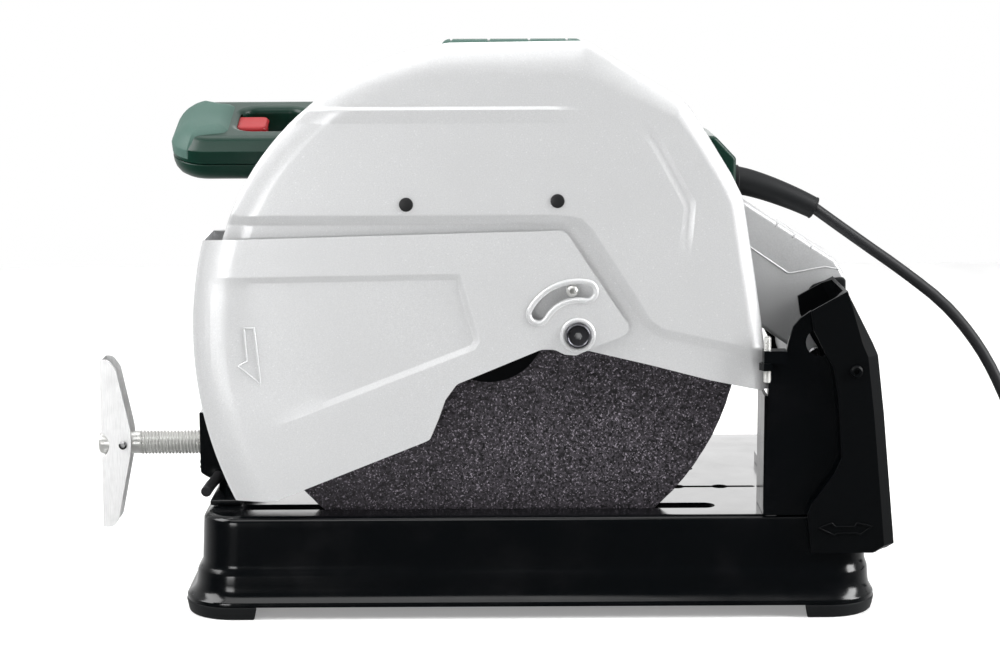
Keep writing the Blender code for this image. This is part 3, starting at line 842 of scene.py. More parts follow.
class Pressing:
    """A sheet's outline with pressed features: each adds to its height, and has its own edges."""

    def __init__(self, outline, holes=(), step=7.0):
        self.outline = outline
        self.holes = list(holes)
        self.step = step
        self.lines = []
        self.heights = []

    def fold(self, outline, width, rise):
        """The height changes by a rise as a point goes into an outline."""
        self.heights.append(lambda p: rise * bend(depth_in(p, outline) / width))
        self.lines += [(even(inset(outline, width * level), 6), True) for level in BEND_LEVELS]

    def tray(self, corners, widths, rise):
        """A shallow tray with straight sides, each with its own slope."""

        def height(p):
            total = np.full(len(p), float(rise))
            for i, width in enumerate(widths):
                one, two = np.array(corners[i]), np.array(corners[(i + 1) % len(corners)])
                run = (two - one) / np.linalg.norm(two - one)
                away = (p[:, 1] - one[1]) * run[0] - (p[:, 0] - one[0]) * run[1]
                total *= bend(away / width)
            return total

        self.heights.append(height)
        for level in BEND_LEVELS:
            self.lines.append((even(inset_edges(corners, [w * level for w in widths]), 6), True))

    def rim(self, outer, inner, drop, lip):
        """The face curves away from an inner line towards an outer one."""

        def height(p):
            out, back = np.maximum(depth_in(p, outer), 0), np.maximum(-depth_in(p, inner), 0)
            share = out / np.maximum(out + back, 1e-6)
            return -drop * (1 - share) ** 1.7 - lip * (1 - np.clip(share / 0.1, 0, 1)) ** 2

        self.heights.append(height)
        for level in (0.04, 0.1, 0.2, 0.35, 0.5, 0.65, 0.8, 0.9, 1.0):
            between = [tuple(Vector(a).lerp(Vector(b), level)) for a, b in zip(outer, inner)]
            self.lines.append((between, True))

    def ridge(self, line, profile, fade):
        """A raised or sunk line: profile is (distance to its left, height), and fade scales it."""
        reach = [d for d, _ in profile]
        tall = [h for _, h in profile]

        def height(p):
            one, two = np.array(line[:-1]), np.array(line[1:])
            best = np.full(len(p), 1e9)
            side = np.zeros(len(p))
            for a, b in zip(one, two):
                run = (b - a) / np.linalg.norm(b - a)
                gap = gap_to(p, [tuple(a), tuple(b)])
                across = (p[:, 1] - a[1]) * run[0] - (p[:, 0] - a[0]) * run[1]
                nearer = gap < best
                best = np.where(nearer, gap, best)
                side = np.where(nearer, across, side)
            signed = np.where(side >= 0, best, -best)
            return np.interp(signed, reach, tall, left=0, right=0) * fade(p)

        self.heights.append(height)
        self.lines += [(even(beside(line, d), 6, closed=False), False) for d in reach]

    def mark(self, line):
        """An edge that the mesh needs, with no height of its own."""
        self.lines.append((line, False))

    def height(self, points):
        return sum(height(points) for height in self.heights)

    def triangles(self):
        """Points and triangles that fill the outline, less its holes."""
        spots, edges = [], []
        for line, closed in [(self.outline, True)] + [(hole, True) for hole in self.holes] + self.lines:
            first = len(spots)
            spots += [Vector(p) for p in line]
            edges += [(i, i + 1) for i in range(first, len(spots) - 1)]
            if closed:
                edges.append((len(spots) - 1, first))
        low, high = np.min(self.outline, axis=0), np.max(self.outline, axis=0)
        grid = []
        for j, z in enumerate(np.arange(low[1], high[1], self.step * 0.87)):
            grid += [(x + (j % 2) * self.step / 2, z) for x in np.arange(low[0], high[0], self.step)]
        grid = np.array(grid)
        clear = depth_in(grid, self.outline) > self.step * 0.5
        for line, closed in self.lines + [(hole, True) for hole in self.holes]:
            ends = list(line) + ([line[0]] if closed else [])
            clear &= gap_to(grid, ends) > self.step * 0.45
        spots += [Vector(p) for p in grid[clear]]
        points, _, faces, *_ = delaunay_2d_cdt(spots, edges, [], 0, 1e-3)
        points = np.array([tuple(p) for p in points])
        centres = np.array([points[list(face)].mean(0) for face in faces])
        inside = depth_in(centres, self.outline) > 0
        for hole in self.holes:
            inside &= depth_in(centres, hole) < 0
        return points, [face for face, good in zip(faces, inside) if good]


def pressed_shell(pressing, face, far, far_edge, on_rim, has_far=lambda p: np.full(len(p), True)):
    """A pressed near side at Y = -face, a wall round its rim, and a flat far side."""
    points, faces = pressing.triangles()
    near_y = -(face + pressing.height(points))
    far_y = far - far_edge * (1 - eased(depth_in(points, pressing.outline) / (2 * far_edge)))
    shape = bmesh.new()
    near = [shape.verts.new((x, y, z)) for (x, z), y in zip(points, near_y)]
    back = [shape.verts.new((x, y, z)) for (x, z), y in zip(points, far_y)]
    behind = has_far(np.array([points[list(f)].mean(0) for f in faces]))
    count = {}
    for triangle, far_side in zip(faces, behind):
        shape.faces.new([near[i] for i in triangle])
        if far_side:
            shape.faces.new([back[i] for i in reversed(triangle)])
        for a, b in zip(triangle, triangle[1:] + triangle[:1]):
            key = (min(a, b), max(a, b))
            count[key] = count.get(key, 0) + 1
    for (a, b), uses in count.items():
        if uses == 1 and on_rim(points[a]) and on_rim(points[b]):
            shape.faces.new((near[a], near[b], back[b], back[a]))
    bmesh.ops.delete(shape, geom=[v for v in shape.verts if not v.link_faces], context="VERTS")
    bmesh.ops.recalc_face_normals(shape, faces=shape.faces)
    middle_face = min(shape.faces, key=lambda f: f.calc_center_median().y)
    if middle_face.normal.y > 0:
        bmesh.ops.reverse_faces(shape, faces=shape.faces[:])
    return shape


# ---- the fixed guard ----

GUARD_FACE = 30.2  # how far its face is in front of the disc's middle
GUARD_FAR = 26
GUARD_WALL = 1.6
GUARD_LOW = 190.5  # below this the fixed guard is open


def fixed_guard_lines():
    """The fixed guard's rim from its lowest right point round to its lowest left one."""
    right = [(196, 161), (190, 207), (183, 252), (176, 295), (168, 311), (152, 337), (137, 360), (104, 379),
             (69, 401)]
    round_by = [0, 30, 60, 22, 60, 60, 16, 80, 16]
    soft = fillet([(300, 300)] + right + [(-40, 401)], [0] + round_by + [0], 4)[1:-1]
    crown = arc((-3.7, 213.5), 188, 97, 185, 30)
    return even(soft, 9, closed=False) + crown


def rim_width(point):
    """How wide the fixed guard's curved rim is at a point on its outline."""
    x = np.array([-60, -20, 60, 110, 150])
    width = np.array([19, 24, 24, 16, 11])
    return float(np.interp(point[0], x, width)) if point[1] > 240 else (19.0 if point[0] < 0 else 11.0)


def make_fixed_guard():
    """The fixed guard's pressed sheet: a curved rim, a sunk pocket, a step and a crease."""
    rim = fixed_guard_lines()
    bottom = [(-190.5, 190), (45, 190), (70, 189), (112, 179), (154, 168), (188, 161)]
    outline = rim + bottom
    past = [(203.8, 101)] + rim + [(-186, 130)]
    inner = inset(past, [rim_width(p) for p in past])
    pressing = Pressing(outline)
    pressing.rim(past, inner, 6.3, 1.3)
    pocket = [(-260, 60), (260, 60), (260, 175), (183, 192), (147, 200), (122, 205.5), (114, 211), (108, 221),
              (74, 274), (65, 283), (52, 285.5), (-260, 285.5)]
    pressing.fold(pocket, 8.5, -3.0)
    step_line = [(-160, 356), (70, 356)]
    pressing.ridge(step_line, [(-9, 0), (-8, 0.12), (0, 1.3), (0.8, 1.3), (2.6, 0.1), (3.4, 0)],
                   lambda p: 1 - eased((p[:, 0] - 44) / 22))
    crease = [(106, 344), (116, 333), (139, 291), (137, 270), (134, 248)]
    pressing.ridge(crease, [(-5, 0), (-4, -0.15), (-1, -1.1), (1, -1.1), (4, -0.15), (5, 0)],
                   lambda p: eased((p[:, 1] - 250) / 24) * eased((346 - p[:, 1]) / 14))

    def on_rim(p):
        return bool(depth_in(np.array([p]), outline)[0] < 0.02) and not (p[1] < GUARD_LOW and p[0] < 188.5)

    shape = pressed_shell(pressing, GUARD_FACE, GUARD_FAR, 2.5, on_rim)
    boss = [prism(circle(SPINDLE, 26, 40), GUARD_FAR - 6, GUARD_FAR + 3)]
    piece("fixed_guard", shape, "silver", "head", "upper_guard", cuts=boss, wall=GUARD_WALL, angle=28)


def make_guard_ring():
    """The fixed guard's back plate with four screws."""
    back = tube(24.3, 58, GUARD_FAR + 0.3, GUARD_FAR + 3.4, SPINDLE)
    piece("guard_back_ring", back, "gloss", "head", "guard_back_plate", edge=0.5)
    for k in range(4):
        at = at_angle(SPINDLE, 50, 45 + 90 * k)
        bolt = turned([(0, 29), (4.6, 29), (4.6, 32.6), (4, 33.2), (2, 33.2), (2, 31), (0, 31)], at, steps=24)
        piece(f"guard_ring_screw_{k}", bolt, "zinc", "head")


def make_guard_screws():
    """Two black caps in the fixed guard's face."""
    for name in ("front", "rear"):
        node = "guard_screw_" + name
        at = flat(node)
        y = -GUARD_FACE
        cap = [(0, y - 1.4), (3.4, y - 1.4), (4.6, y - 0.9), (5, y + 0.3), (5, y + 3), (0, y + 3)]
        piece("guard_cap_" + name, turned(cap, at, steps=32), "plastic", "head", node)


# ---- the swinging guard ----

SWING_FACE = 33.5
SWING_REACH = 267
SWING_WALL = 1.5
SWING_SLOT = (31.3, 9, 79, 151)  # radius, width, from and to in degrees


def curved_slot(centre, radius, width, start, end, steps=14):
    """A slot with round ends along an arc, anticlockwise."""
    half = width / 2
    first, last = arc(centre, radius, start, end, 1)
    outer = arc(centre, radius + half, start, end, steps)
    inner = arc(centre, radius - half, end, start, steps)
    tail = arc(last, half, end, end + 180, 8)[1:-1]
    head = arc(first, half, start + 180, start + 360, 8)[1:-1]
    return outer + tail + inner + head


def bead(outline, y, radius):
    """A half-round bead along a closed line on a face."""
    return swept([(x, y, z) for x, z in even(outline, 3)], radius, sides=12, closed=True)


def make_swinging_guard():
    """The swinging guard's pressed sheet, with beads round its holes and a raised arrow."""
    corners = [(53, 274), (-182, 268.4)]
    left = arc(PIVOT, SWING_REACH, 165.5, 206, 44)
    tip = [(-158, 84), (-148, 85), (-45, 126), (-41, 128), (-35, 142), (-30, 156), (-22, 167), (35, 190.5)]
    lobe = [(41, 192), (47, 190.5), (53, 187.6), (61, 187), (71, 191.5), (85, 197), (96, 202), (97.5, 207)]
    radii = [7, 0] + [0] * len(left) + [6, 6, 0, 4, 0, 0, 6, 0, 3, 3, 3, 3, 3, 0, 5, 5]
    outline = fillet(corners + left + tip + lobe, radii, 4)
    slot = curved_slot(PIVOT, *SWING_SLOT)
    pressing = Pressing(outline, [slot])
    pressing.rim(circle(PIVOT, SWING_REACH, 180), circle(PIVOT, SWING_REACH - 25, 180), 6.0, 1.0)
    panel = [(-152, 135.5), (-9, 190.6), (-5, 196.5), (-18.5, 245), (-196, 242.5), (-196, 156)]
    pressing.tray(panel, [5.2, 5.2, 5.2, 5.5, 36, 40], -1.9)
    pressing.mark(arc(PIVOT, 200, 160, 212, 40))

    def on_rim(p):
        return bool(math.hypot(p[0] - PIVOT[0], p[1] - PIVOT[1]) > SWING_REACH - 0.3)

    def has_far(p):
        return np.hypot(p[:, 0] - PIVOT[0], p[:, 1] - PIVOT[1]) > 200

    shape = pressed_shell(pressing, SWING_FACE, 32.3, 2.5, on_rim, has_far)
    piece("swinging_guard", shape, "silver", "swing_guard", "lower_guard", wall=SWING_WALL, angle=28)
    lip = curved_slot(PIVOT, SWING_SLOT[0], SWING_SLOT[1] + 4.4, *SWING_SLOT[2:])
    arrow = [(-169, 207), (-167.3, 183.5), (-173.5, 180.3), (-158.3, 167.5), (-160, 186), (-162, 207)]
    beads = {
        "swinging_guard_slot_lip": bead(lip, -SWING_FACE + 0.3, 1.9),
        "swinging_guard_pivot_lip": bead(circle(PIVOT, 10.6, 48), -SWING_FACE + 0.3, 1.9),
        "swinging_guard_arrow": bead(arrow, -SWING_FACE + 1.4, 0.75),
    }
    for name, shape in beads.items():
        piece(name, shape, "silver", "swing_guard")


def make_guard_pivot():
    """The swinging guard's pivot screw, and the stud in its curved slot."""
    y = -38.4
    head = [(0, y + 1.2), (6.6, y + 1.2), (7.2, y + 0.5), (7.9, y + 0.5), (8.5, y + 1.4), (8.5, -34),
            (6, -33.6), (6, -18), (0, -18)]
    piece("guard_pivot_screw", turned(head, PIVOT), "spring", "head", "guard_pivot_bolt",
          cuts=[hexagon(PIVOT, 2.9, y - 2, y + 5)])
    pin = [(0, -35), (2.6, -35), (3.8, -34.2), (4, -33.2), (4, -18), (0, -18)]
    piece("guard_guide_stud", turned(pin, GUIDE_PIN, steps=32), "zinc", "head", "guard_guide_pin",
          cuts=[hexagon(GUIDE_PIN, 1.8, -37, -33)])


# ---- the disc and what clamps it ----

DISC_STEPS = 288
DISC_INSIDE = 0.2  # keeps the uneven rim within the CAD's disc
DISC_BORE = 16


def disc_ring(radii, y):
    """Points round the disc's axis, each at its own radius."""
    points = [at_angle(SPINDLE, radius, 360 * i / DISC_STEPS) for i, radius in enumerate(radii)]
    return [place(x, z, y, "Y") for x, z in points]


def make_disc():
    """The abrasive disc has a slightly uneven rim, and a metal ring in its bore."""
    low, high = corners_of("cutting_disc")
    reach, half = (high.x - low.x) / 2 - DISC_INSIDE, (high.y - low.y) / 2
    turns = [2 * math.pi * i / DISC_STEPS for i in range(DISC_STEPS)]
    wear = [0.12 * math.sin(37 * a) * math.sin(11 * a + 1) + 0.1 * math.sin(91 * a) for a in turns]
    rings = [disc_ring([reach - pull + w for w in wear], y)
             for pull, y in ((0.5, -half), (0.05, -half + 0.35), (0, half - 0.4), (0.5, half))]
    bore = [disc_ring([DISC_BORE] * DISC_STEPS, y) for y in (half, -half)]
    piece("abrasive_disc", loft(rings + bore, closed=True), "abrasive", "disc", "cutting_disc")
    piece("disc_bore_ring", tube(12.7, 15.9, -half, half, SPINDLE), "steel", "disc")
    cap = [(8.5, -1.8), (39.4, -1.8), (40, -2.4), (40, -4.4), (39, -5), (32, -5), (18, -8.4), (8.5, -8.6)]
    piece("disc_outer_flange", turned(cap, SPINDLE, steps=72, ring=True), "satin", "disc", "outer_flange")
    bolt = joined(hexagon(SPINDLE, 12, -17, -10.6), rod(13.5, -10.6, -8.9, SPINDLE, edge=0.4),
                  rod(5, -9.2, 14, SPINDLE))
    piece("disc_bolt", bolt, "zinc", "disc", "arbor_bolt", edge=0.6)
    keep("zinc", "inner_flange")


# ---- base ----

SKIRT_OUT = 12  # how far the skirt's foot stands out from the flat top
SKIRT_SPREAD = (1.5, 0.85, 1, 1.5)  # how much of that each side has: left, right, near, far
BASE_CORNER = 24
BASE_WALL = 2.5
# Height and how far the surface is outside the flat top, from the top down.
SKIRT = [(72, -2.4), (71.85, -0.9), (71.4, 0.5), (70.6, 1.7), (69.4, 2.6), (67.8, 3.1), (64, 3.3), (50, 3.7),
         (38, 4.1), (35.5, 4.4), (33.5, 5.1), (31.5, 6.1), (29.5, 6.6), (24, 7.1), (20.5, 7.5), (18, 8.1),
         (15.8, 9.1), (14, 10.3), (12.8, 11.4), (11.9, 11.9), (9.3, 12)]
TABLE = SKIRT[0][0]


def base_sides():
    """X from and to, and Y from and to, of the base's flat top."""
    low, high = corners_of("base_plate")
    left, right, near, far = [SKIRT_OUT * share for share in SKIRT_SPREAD]
    return low.x + left, high.x - right, low.y + near, high.y - far


def base_outline(out):
    x0, x1, y0, y1 = base_sides()
    left, right, near, far = [out * share for share in SKIRT_SPREAD]
    return rounded(x0 - left, x1 + right, y0 - near, y1 + far, BASE_CORNER + out, 14)


def base_holes():
    """Cutters for the disc's slots, the fence's two plain holes, and its bolt and curved slot."""
    through = (TABLE - 8, TABLE + 4)
    bolt = (spot("fence_bolt_near").x, spot("fence_bolt_near").y)
    outlines = [rounded(-178, 161, -8, 8, 7.9, 8), rounded(114, 196, 55.4, 60.6, 2.5, 4)]
    outlines += [circle((x, 58), 6, 24) for x in (138, 170)]
    outlines += [circle(bolt, 5.6, 20), curved_slot(bolt, 90, 11.2, 59, 91)]
    return [prism(outline, *through, "Z") for outline in outlines]


def make_base():
    """The pressed table and skirt as one shell, with ribs underneath."""
    points, faces = Pressing(base_outline(SKIRT[0][1]), step=16).triangles()
    shape = bmesh.new()
    made = [shape.verts.new((x, y, TABLE)) for x, y in points]
    for face in faces:
        shape.faces.new([made[i] for i in face])
    skirt = loft([[(x, y, z) for x, y in base_outline(out)] for z, out in SKIRT], caps=False)
    shape = joined(shape, skirt)
    bmesh.ops.remove_doubles(shape, verts=shape.verts, dist=0.02)
    tidy(shape)
    if max(shape.faces, key=lambda f: f.calc_center_median().z).normal.z < 0:
        bmesh.ops.reverse_faces(shape, faces=shape.faces[:])
    piece("base_shell", shape, "gloss", "saw", "base_plate", cuts=base_holes(), edge=0.35, wall=BASE_WALL,
          angle=30)
    x0, x1, y0, y1 = base_sides()
    top = TABLE - BASE_WALL - 0.1
    ribs = [block((x - 1.5, x + 1.5), (16, y1 - 6), (52, top)) for x in (x0 + 50, x1 - 50)]
    ribs.append(block((x0 + 10, x1 - 10), (154, 157), (14, top)))
    piece("base_ribs", joined(*ribs), "gloss", "saw")


FOOT_REACH = BASE_CORNER + SKIRT_OUT + 0.7  # from the corner's centre to the foot's outer side
FOOT_PAST = 17  # how far a foot goes on beyond its corner
FOOT_DEEP = 17
FOOT_LEVELS = [(0, 2.6), (0.5, 2.0), (2, 1.5), (8.2, 0.3), (8.9, 0.5), (9.2, 1.0)]


def make_feet():
    """Rubber pads that follow the skirt's corners."""
    (x0, y0), (x1, y1) = [find(base_outline(SKIRT_OUT), axis=0) for find in (np.min, np.max)]
    corners = {"near_left": (x0, y0, 180), "near_right": (x1, y0, 270), "far_right": (x1, y1, 0),
               "far_left": (x0, y1, 90)}
    inwards = BASE_CORNER + SKIRT_OUT
    for name, (x, y, start) in corners.items():
        centre = Vector((x + (inwards if x == x0 else -inwards), y + (inwards if y == y0 else -inwards)))
        one, two = [Vector(at_angle((0, 0), 1, degrees)) for degrees in (start, start + 90)]
        inner = FOOT_REACH - FOOT_DEEP
        outline = [centre + one * FOOT_REACH - two * FOOT_PAST]
        outline += arc(centre, FOOT_REACH, start, start + 90, 14)
        outline += [centre + two * FOOT_REACH - one * FOOT_PAST, centre + two * inner - one * (FOOT_PAST - 2),
                    centre + one * inner - two * (FOOT_PAST - 2)]
        piece("pad_" + name, stacked(outline, FOOT_LEVELS), "rubber", "saw", "foot_" + name, angle=30)


# ---- spark guard and chute ----


def make_spark_guard():
    """Materials for the spark guard and chute, with the guard's double arrow and screw."""
    keep("satin", "spark_guard", edge=0.7)
    keep("gloss", "spark_chute", edge=0.5)
    face = -40.25
    arrow = [(230, 65), (239, 68.4), (241.5, 65.8), (255, 65.8), (256.5, 68.4), (267, 66), (259, 60),
             (256.5, 61.2), (243, 61), (241, 59.6)]
    piece("spark_guard_arrow", bead(arrow, face, 0.7), "satin", "spark_guard_slide")
    at = flat("spark_guard_screw")
    y = -43
    head = [(0, y), (3.2, y), (4.3, y + 0.9), (4.6, y + 2.7), (2.5, y + 2.7), (2.5, -34), (0, -34)]
    piece("spark_guard_bolt", turned(head, at, steps=32), "satin", "spark_guard_slide", "spark_guard_screw",
          cuts=[hexagon(at, 2.1, y - 1, y + 1.8)])


def make_depth_stop():
    """The threaded screw and its nut."""
    stop = spot("depth_stop_screw")
    at = (stop.x, stop.y)
    shape = joined(threaded(2.7, 1.0, 0.4, 168, 199.4, at, "Z", 20), rod(1.9, 199, 200, at, "Z", 20))
    piece("depth_screw", shape, "zinc", "saw", "depth_stop_screw")
    keep("gloss", "depth_stop_nut", edge=0.5)


THREAD = (0, 0.15, 0.7, 1.0, 1.0, 0.7, 0.15, 0)  # a thread's depth over one pitch, as a share


def threaded(radius, pitch, deep, low, high, centre, axis="X", sides=32):
    """A screw thread: rings whose radius follows the helix."""
    levels = len(THREAD)
    count = round((high - low) / pitch * levels)
    rings = []
    for i in range(count + 1):
        along = low + (high - low) * i / count
        fade = min(1.0, (along - low) / pitch, (high - along) / pitch)
        ring = []
        for k in range(sides):
            turn = (i / levels - k / sides) % 1 * levels
            one, two = THREAD[int(turn) % levels], THREAD[(int(turn) + 1) % levels]
            cut = one + (two - one) * (turn - int(turn))
            size = radius - deep * cut - 0.8 * deep * (1 - max(0.0, fade))
            ring.append(place(*at_angle(centre, size, 360 * k / sides), along, axis))
        rings.append(ring)
    return loft(rings)


# ---- vise ----


def make_vise_screw():
    """The vise's screw, and the wing that is pinned to it."""
    y, z = VISE
    start, end = [corner.x for corner in corners_of("vise_spindle")]
    nose = [(0, start), (6.4, start), (7.6, start + 0.6), (8.6, start + 2.2), (8.6, start + 31),
            (0, start + 31)]
    shank = joined(turned(nose, VISE, "X", 40), threaded(9, 2.5, 1.35, start + 28, end - 12, VISE),
                   rod(7.6, end - 13, end, VISE, "X", 32, 0.6))
    piece("vise_screw_shank", shank, "zinc", "vise_screw", "vise_spindle")
    pin_at = (spot("wing_pin").x, z)
    pin = [(0, y - 13.6), (1.8, y - 13.6), (3, y - 12.9), (3, y + 12.9), (1.8, y + 13.6), (0, y + 13.6)]
    piece("wing_roll_pin", turned(pin, pin_at, steps=24), "steel", "vise_screw", "wing_pin",
          cuts=[rod(1.5, y - 15, y - 10, pin_at, steps=16)])
    leaf = [(-287.4, 42), (-280, 42), (-276, 47), (-265.8, 97), (-265, 106), (-265.6, 116), (-274.6, 160),
            (-280, 168), (-286.6, 168)]
    leaf = fillet(leaf, [1, 7, 7, 8, 8, 8, 9, 7, 1], 4)
    outer = prism(leaf, y - 11.5, y + 11.5)
    hollow = prism(rectangle(-284.9, -250, 30, 180), y - 9.3, y + 9.3)
    passage = rod(9.6, -292, -279, VISE, "X", 40)
    notch = rod(10.4, y - 20, y + 20, (-291.6, z), steps=48)
    piece("wing", outer, "plate", "vise_screw", "wing_handle", cuts=[hollow, passage, notch], edge=0.6)


def make_vise_body():
    """The nut's casting with its two bolts, and the lever that lets the screw go."""
    y = VISE[0]
    bracket = [(-212.4, 86), (-208, 83), (-199, 79), (-199, 72.6), (-165, 72.6), (-165, 79), (-178, 87),
               (-186, 128), (-189, 131), (-212.4, 131)]
    shape = prism(fillet(bracket, [3, 3, 3, 0, 0, 1, 8, 3, 3, 1], 4), y - 24, y + 24)
    ribs = [block((-212.8, -189), (y - 24.5, y + 24.5), (level, level + 1.3)) for level in (89.6, 93.4)]
    boss = rod(15, -213.4, -183, VISE, "X", 40, 1.2)
    step = block((-200, -178), (4, y - 20), (72.5, 76.4), 1.2)
    piece("vise_body", shape, "gloss", "saw", "vise_bracket", adds=ribs + [boss, step],
          cuts=[rod(9.3, -222, -160, VISE, "X", 40)], edge=0.6)
    for k, side in enumerate((-16, 16)):
        bolt = turned([(0, 80.5), (4.5, 80.5), (5.2, 79.7), (5.2, 76), (0, 76)], (-172, y + side), "Z", 24)
        piece(f"vise_body_bolt_{k}", bolt, "zinc", "saw")
    stem = [(-199, 49.2, 84.5), (-200, 44, 83), (-203, 34, 80.5), (-204.8, 24, 78.6), (-205, 21, 78.4)]
    lever = swept(smooth_line(stem, 3), 3.9, 24)
    piece("quick_release_lever", lever, "plastic", "release_lever", "vise_release_lever", edge=0.7)


def make_vise_jaw():
    """The moving jaw, with level grooves in its face."""
    low, high = corners_of("vise_jaw")
    jaw = block(*zip(low, high), 2.0)
    grooves = [block((high.x - 0.9, high.x + 1), (low.y - 1, high.y + 1), (level, level + 1.2))
               for level in range(80, 122, 5)]
    bore = rod(9.3, -32, -29, VISE, "X")
    piece("jaw_plate", jaw, "gloss", "vise_carriage", "vise_jaw", cuts=grooves + [bore])


def make_fence():
    """The steel angle with its ribs, and two hexagon bolts with washers."""
    x, near = spot("fence_bolt_near").x, spot("fence_bolt_near").y
    far = spot("fence_bolt_far").y
    low, high = corners_of("fence")
    corners = [(low.x, low.z), (high.x, low.z), (high.x, 77.6), (91, 78.6), (90, 80), (90, high.z),
               (low.x, high.z)]
    angle = prism(fillet(corners, [1, 2, 2, 3, 3, 2, 2], 3), low.y, high.y)
    ribs = [prism([(89, 77), (113, 77), (89, 108)], y - 2.2, y + 2.2) for y in (20, 64, 104, 157)]
    holes = [prism(circle((x, y), 5.6, 24), 70, 82, "Z") for y in (near, far)]
    grooves = [block((low.x - 1, low.x + 0.6), (low.y - 1, high.y + 1), (level, level + 1))
               for level in range(86, 118, 6)]
    piece("fence_angle", angle, "casting", "fence_swivel", "fence", adds=ribs, cuts=holes + grooves, edge=0.7)
    for name, along, body in (("near", near, "saw"), ("far", far, "fence_swivel")):
        washer = rod(8.5, 78.2, 79.8, (x, along), "Z", 32, 0.3)
        head = hexagon((x, along), 7.3, 79.6, 84, "Z")
        shaft = rod(5, 60, 79, (x, along), "Z", 24)
        piece("fence_hex_bolt_" + name, joined(washer, head, shaft), "zinc", body, "fence_bolt_" + name,
              edge=0.5)


# ---- arm and gearbox ----

ARM_NEAR = 38
ARM_FAR = 132
SLOPE = (Vector((184, 285.5)), Vector((250, 243)))  # the ends of the arm's sloping top
BUFFER_SIDE = [(227.5, 205), (228.5, 217), (232, 225), (248, 230.4)]


def slope_steps():
    """Cutters for three small steps across the sloping top."""
    run = (SLOPE[1] - SLOPE[0]).normalized()
    up = Vector((-run.y, run.x))
    steps = []
    for share in (0.36, 0.55, 0.74):
        at = SLOPE[0].lerp(SLOPE[1], share)
        corners = [at + run * 1.3, at + up * 2.6, at - run * 1.3, at - up * 4.2]
        steps.append(prism(corners, 30, 140))
    return steps


def make_arm():
    """The arm's casting, the rubber buffer in its pocket, and a raised line on its near face."""
    boss = arc(TILT, 20, 160, 360, 40)
    top = [(258, 215), (257.5, 230), (250, 243), (184, 285.5), (73.9, 284)]
    outline = fillet([(73.9, 214), (196, 195)] + boss + top, [2, 10] + [0] * len(boss) + [4, 4, 8, 8, 2], 4)
    body = pillow(outline, ARM_NEAR, ARM_FAR, 3.2, steps=4)
    bores = [rod(24.5, 50.2, 62, TILT, steps=64), rod(17.2, 103, 140, TILT, steps=64),
             rod(8.4, 30, 120, TILT)]
    trough = block((150, 270), (66, 140), (267, 300))
    pocket = prism(fillet(BUFFER_SIDE + [(262, 231), (262, 205)], [4, 6, 8, 3, 0, 0], 5), 30, 50)
    piece("arm_casting", body, "casting", "head", "arm", cuts=bores + [trough, pocket] + slope_steps(),
          angle=30)
    buffer = fillet(BUFFER_SIDE + [(257.4, 230.4), (257.8, 205)], [4, 6, 8, 2, 3, 2], 5)[::-1]
    piece("arm_buffer", pillow(inset(buffer, 0.25), 36.4, 49.6, 1.4), "rubber", "head")
    line = fillet([(176, 261), (189, 252), (216, 233.4), (242, 238.2), (252, 236.5)], [0, 0, 6, 3, 0], 4)
    path = [(x, ARM_NEAR + 0.25, z) for x, z in even(line, 3, closed=False)]
    piece("arm_step_line", swept(path, 0.75, 10), "casting", "head")


def make_gearbox():
    """Screws round the gearbox, and materials for it and what is inside it and the motor."""
    keep("casting", "gearbox_housing", edge=1.2)
    for k in range(6):
        at = at_angle(MOTOR, 46, 20 + 60 * k)
        if math.dist(at, SPINDLE) > 46:
            head = turned([(0, 34.2), (3.2, 34.2), (4.4, 34.8), (4.6, 36.2), (0, 36.2)], at, steps=24)
            piece(f"gearbox_screw_{k}", head, "zinc", "head", cuts=[hexagon(at, 1.9, 33, 35.8)])
    keep("steel", "spindle", "spindle_gear", "spindle_bearing", "motor_bearing", "motor_shaft", edge=0.3)
    keep("plastic", "cooling_fan", edge=0.5)
    keep("copper", "commutator", edge=0.2)
    keep("laminated", "stator", "armature", edge=0.2)


# ---- motor ----

MOTOR_R = 50.0


def radial_slot(centre, angle, inner, outer, width, low, high):
    """A cutter between two radii, turned to an angle about a line along Y."""
    shape = block((inner, outer), (low, high), (-width / 2, width / 2))
    turn = Matrix.Rotation(-math.radians(angle), 4, "Y")
    return shifted(shape, Matrix.Translation((centre[0], 0, centre[1])) @ turn)


def make_motor_barrel():
    """The motor's housing, with slots for air and three ribs."""
    inner, outer = 46.2, MOTOR_R
    shell = [(14, 80.3), (48.8, 80.3), (outer, 81.5), (outer, 229.5), (49.4, 231), (49.4, 232), (inner, 232),
             (inner, 84), (14, 84)]
    vents = [radial_slot(MOTOR, 17.5 * k - 70, 40, 60, 3.2, 90, 106) for k in range(9)]
    piece("motor_barrel", turned(shell, MOTOR, steps=96, ring=True), "green", "head", "motor_housing",
          cuts=[joined(*vents)], angle=30)
    ribs = []
    for y in (112, 118, 124):
        rib = [(outer - 0.6, y - 1.4), (outer + 0.7, y - 0.8), (outer + 0.7, y + 0.8), (outer - 0.6, y + 1.4)]
        ribs.append(turned(rib, MOTOR, steps=96, ring=True))
    piece("motor_barrel_ribs", joined(*ribs), "green", "head")


def make_motor_cap():
    """The motor's end cap, with slots like spokes."""
    outside = [(0, 262), (38, 262), (43, 260.8), (47, 258), (49.2, 254), (MOTOR_R, 249), (MOTOR_R, 233.6),
               (49.4, 232.3), (46, 232.3), (46, 249), (43, 254), (38, 257.4), (18, 257.4)]
    hub = [(18, 234), (13.3, 234), (13.3, 244), (0, 244)]
    slots = [radial_slot(MOTOR, 15 * k, 22, 41, 3.0, 252, 266) for k in range(24)]
    piece("motor_cap", turned(outside + hub, MOTOR, steps=96), "green", "head", "motor_end_cap",
          cuts=[joined(*slots)], angle=30)


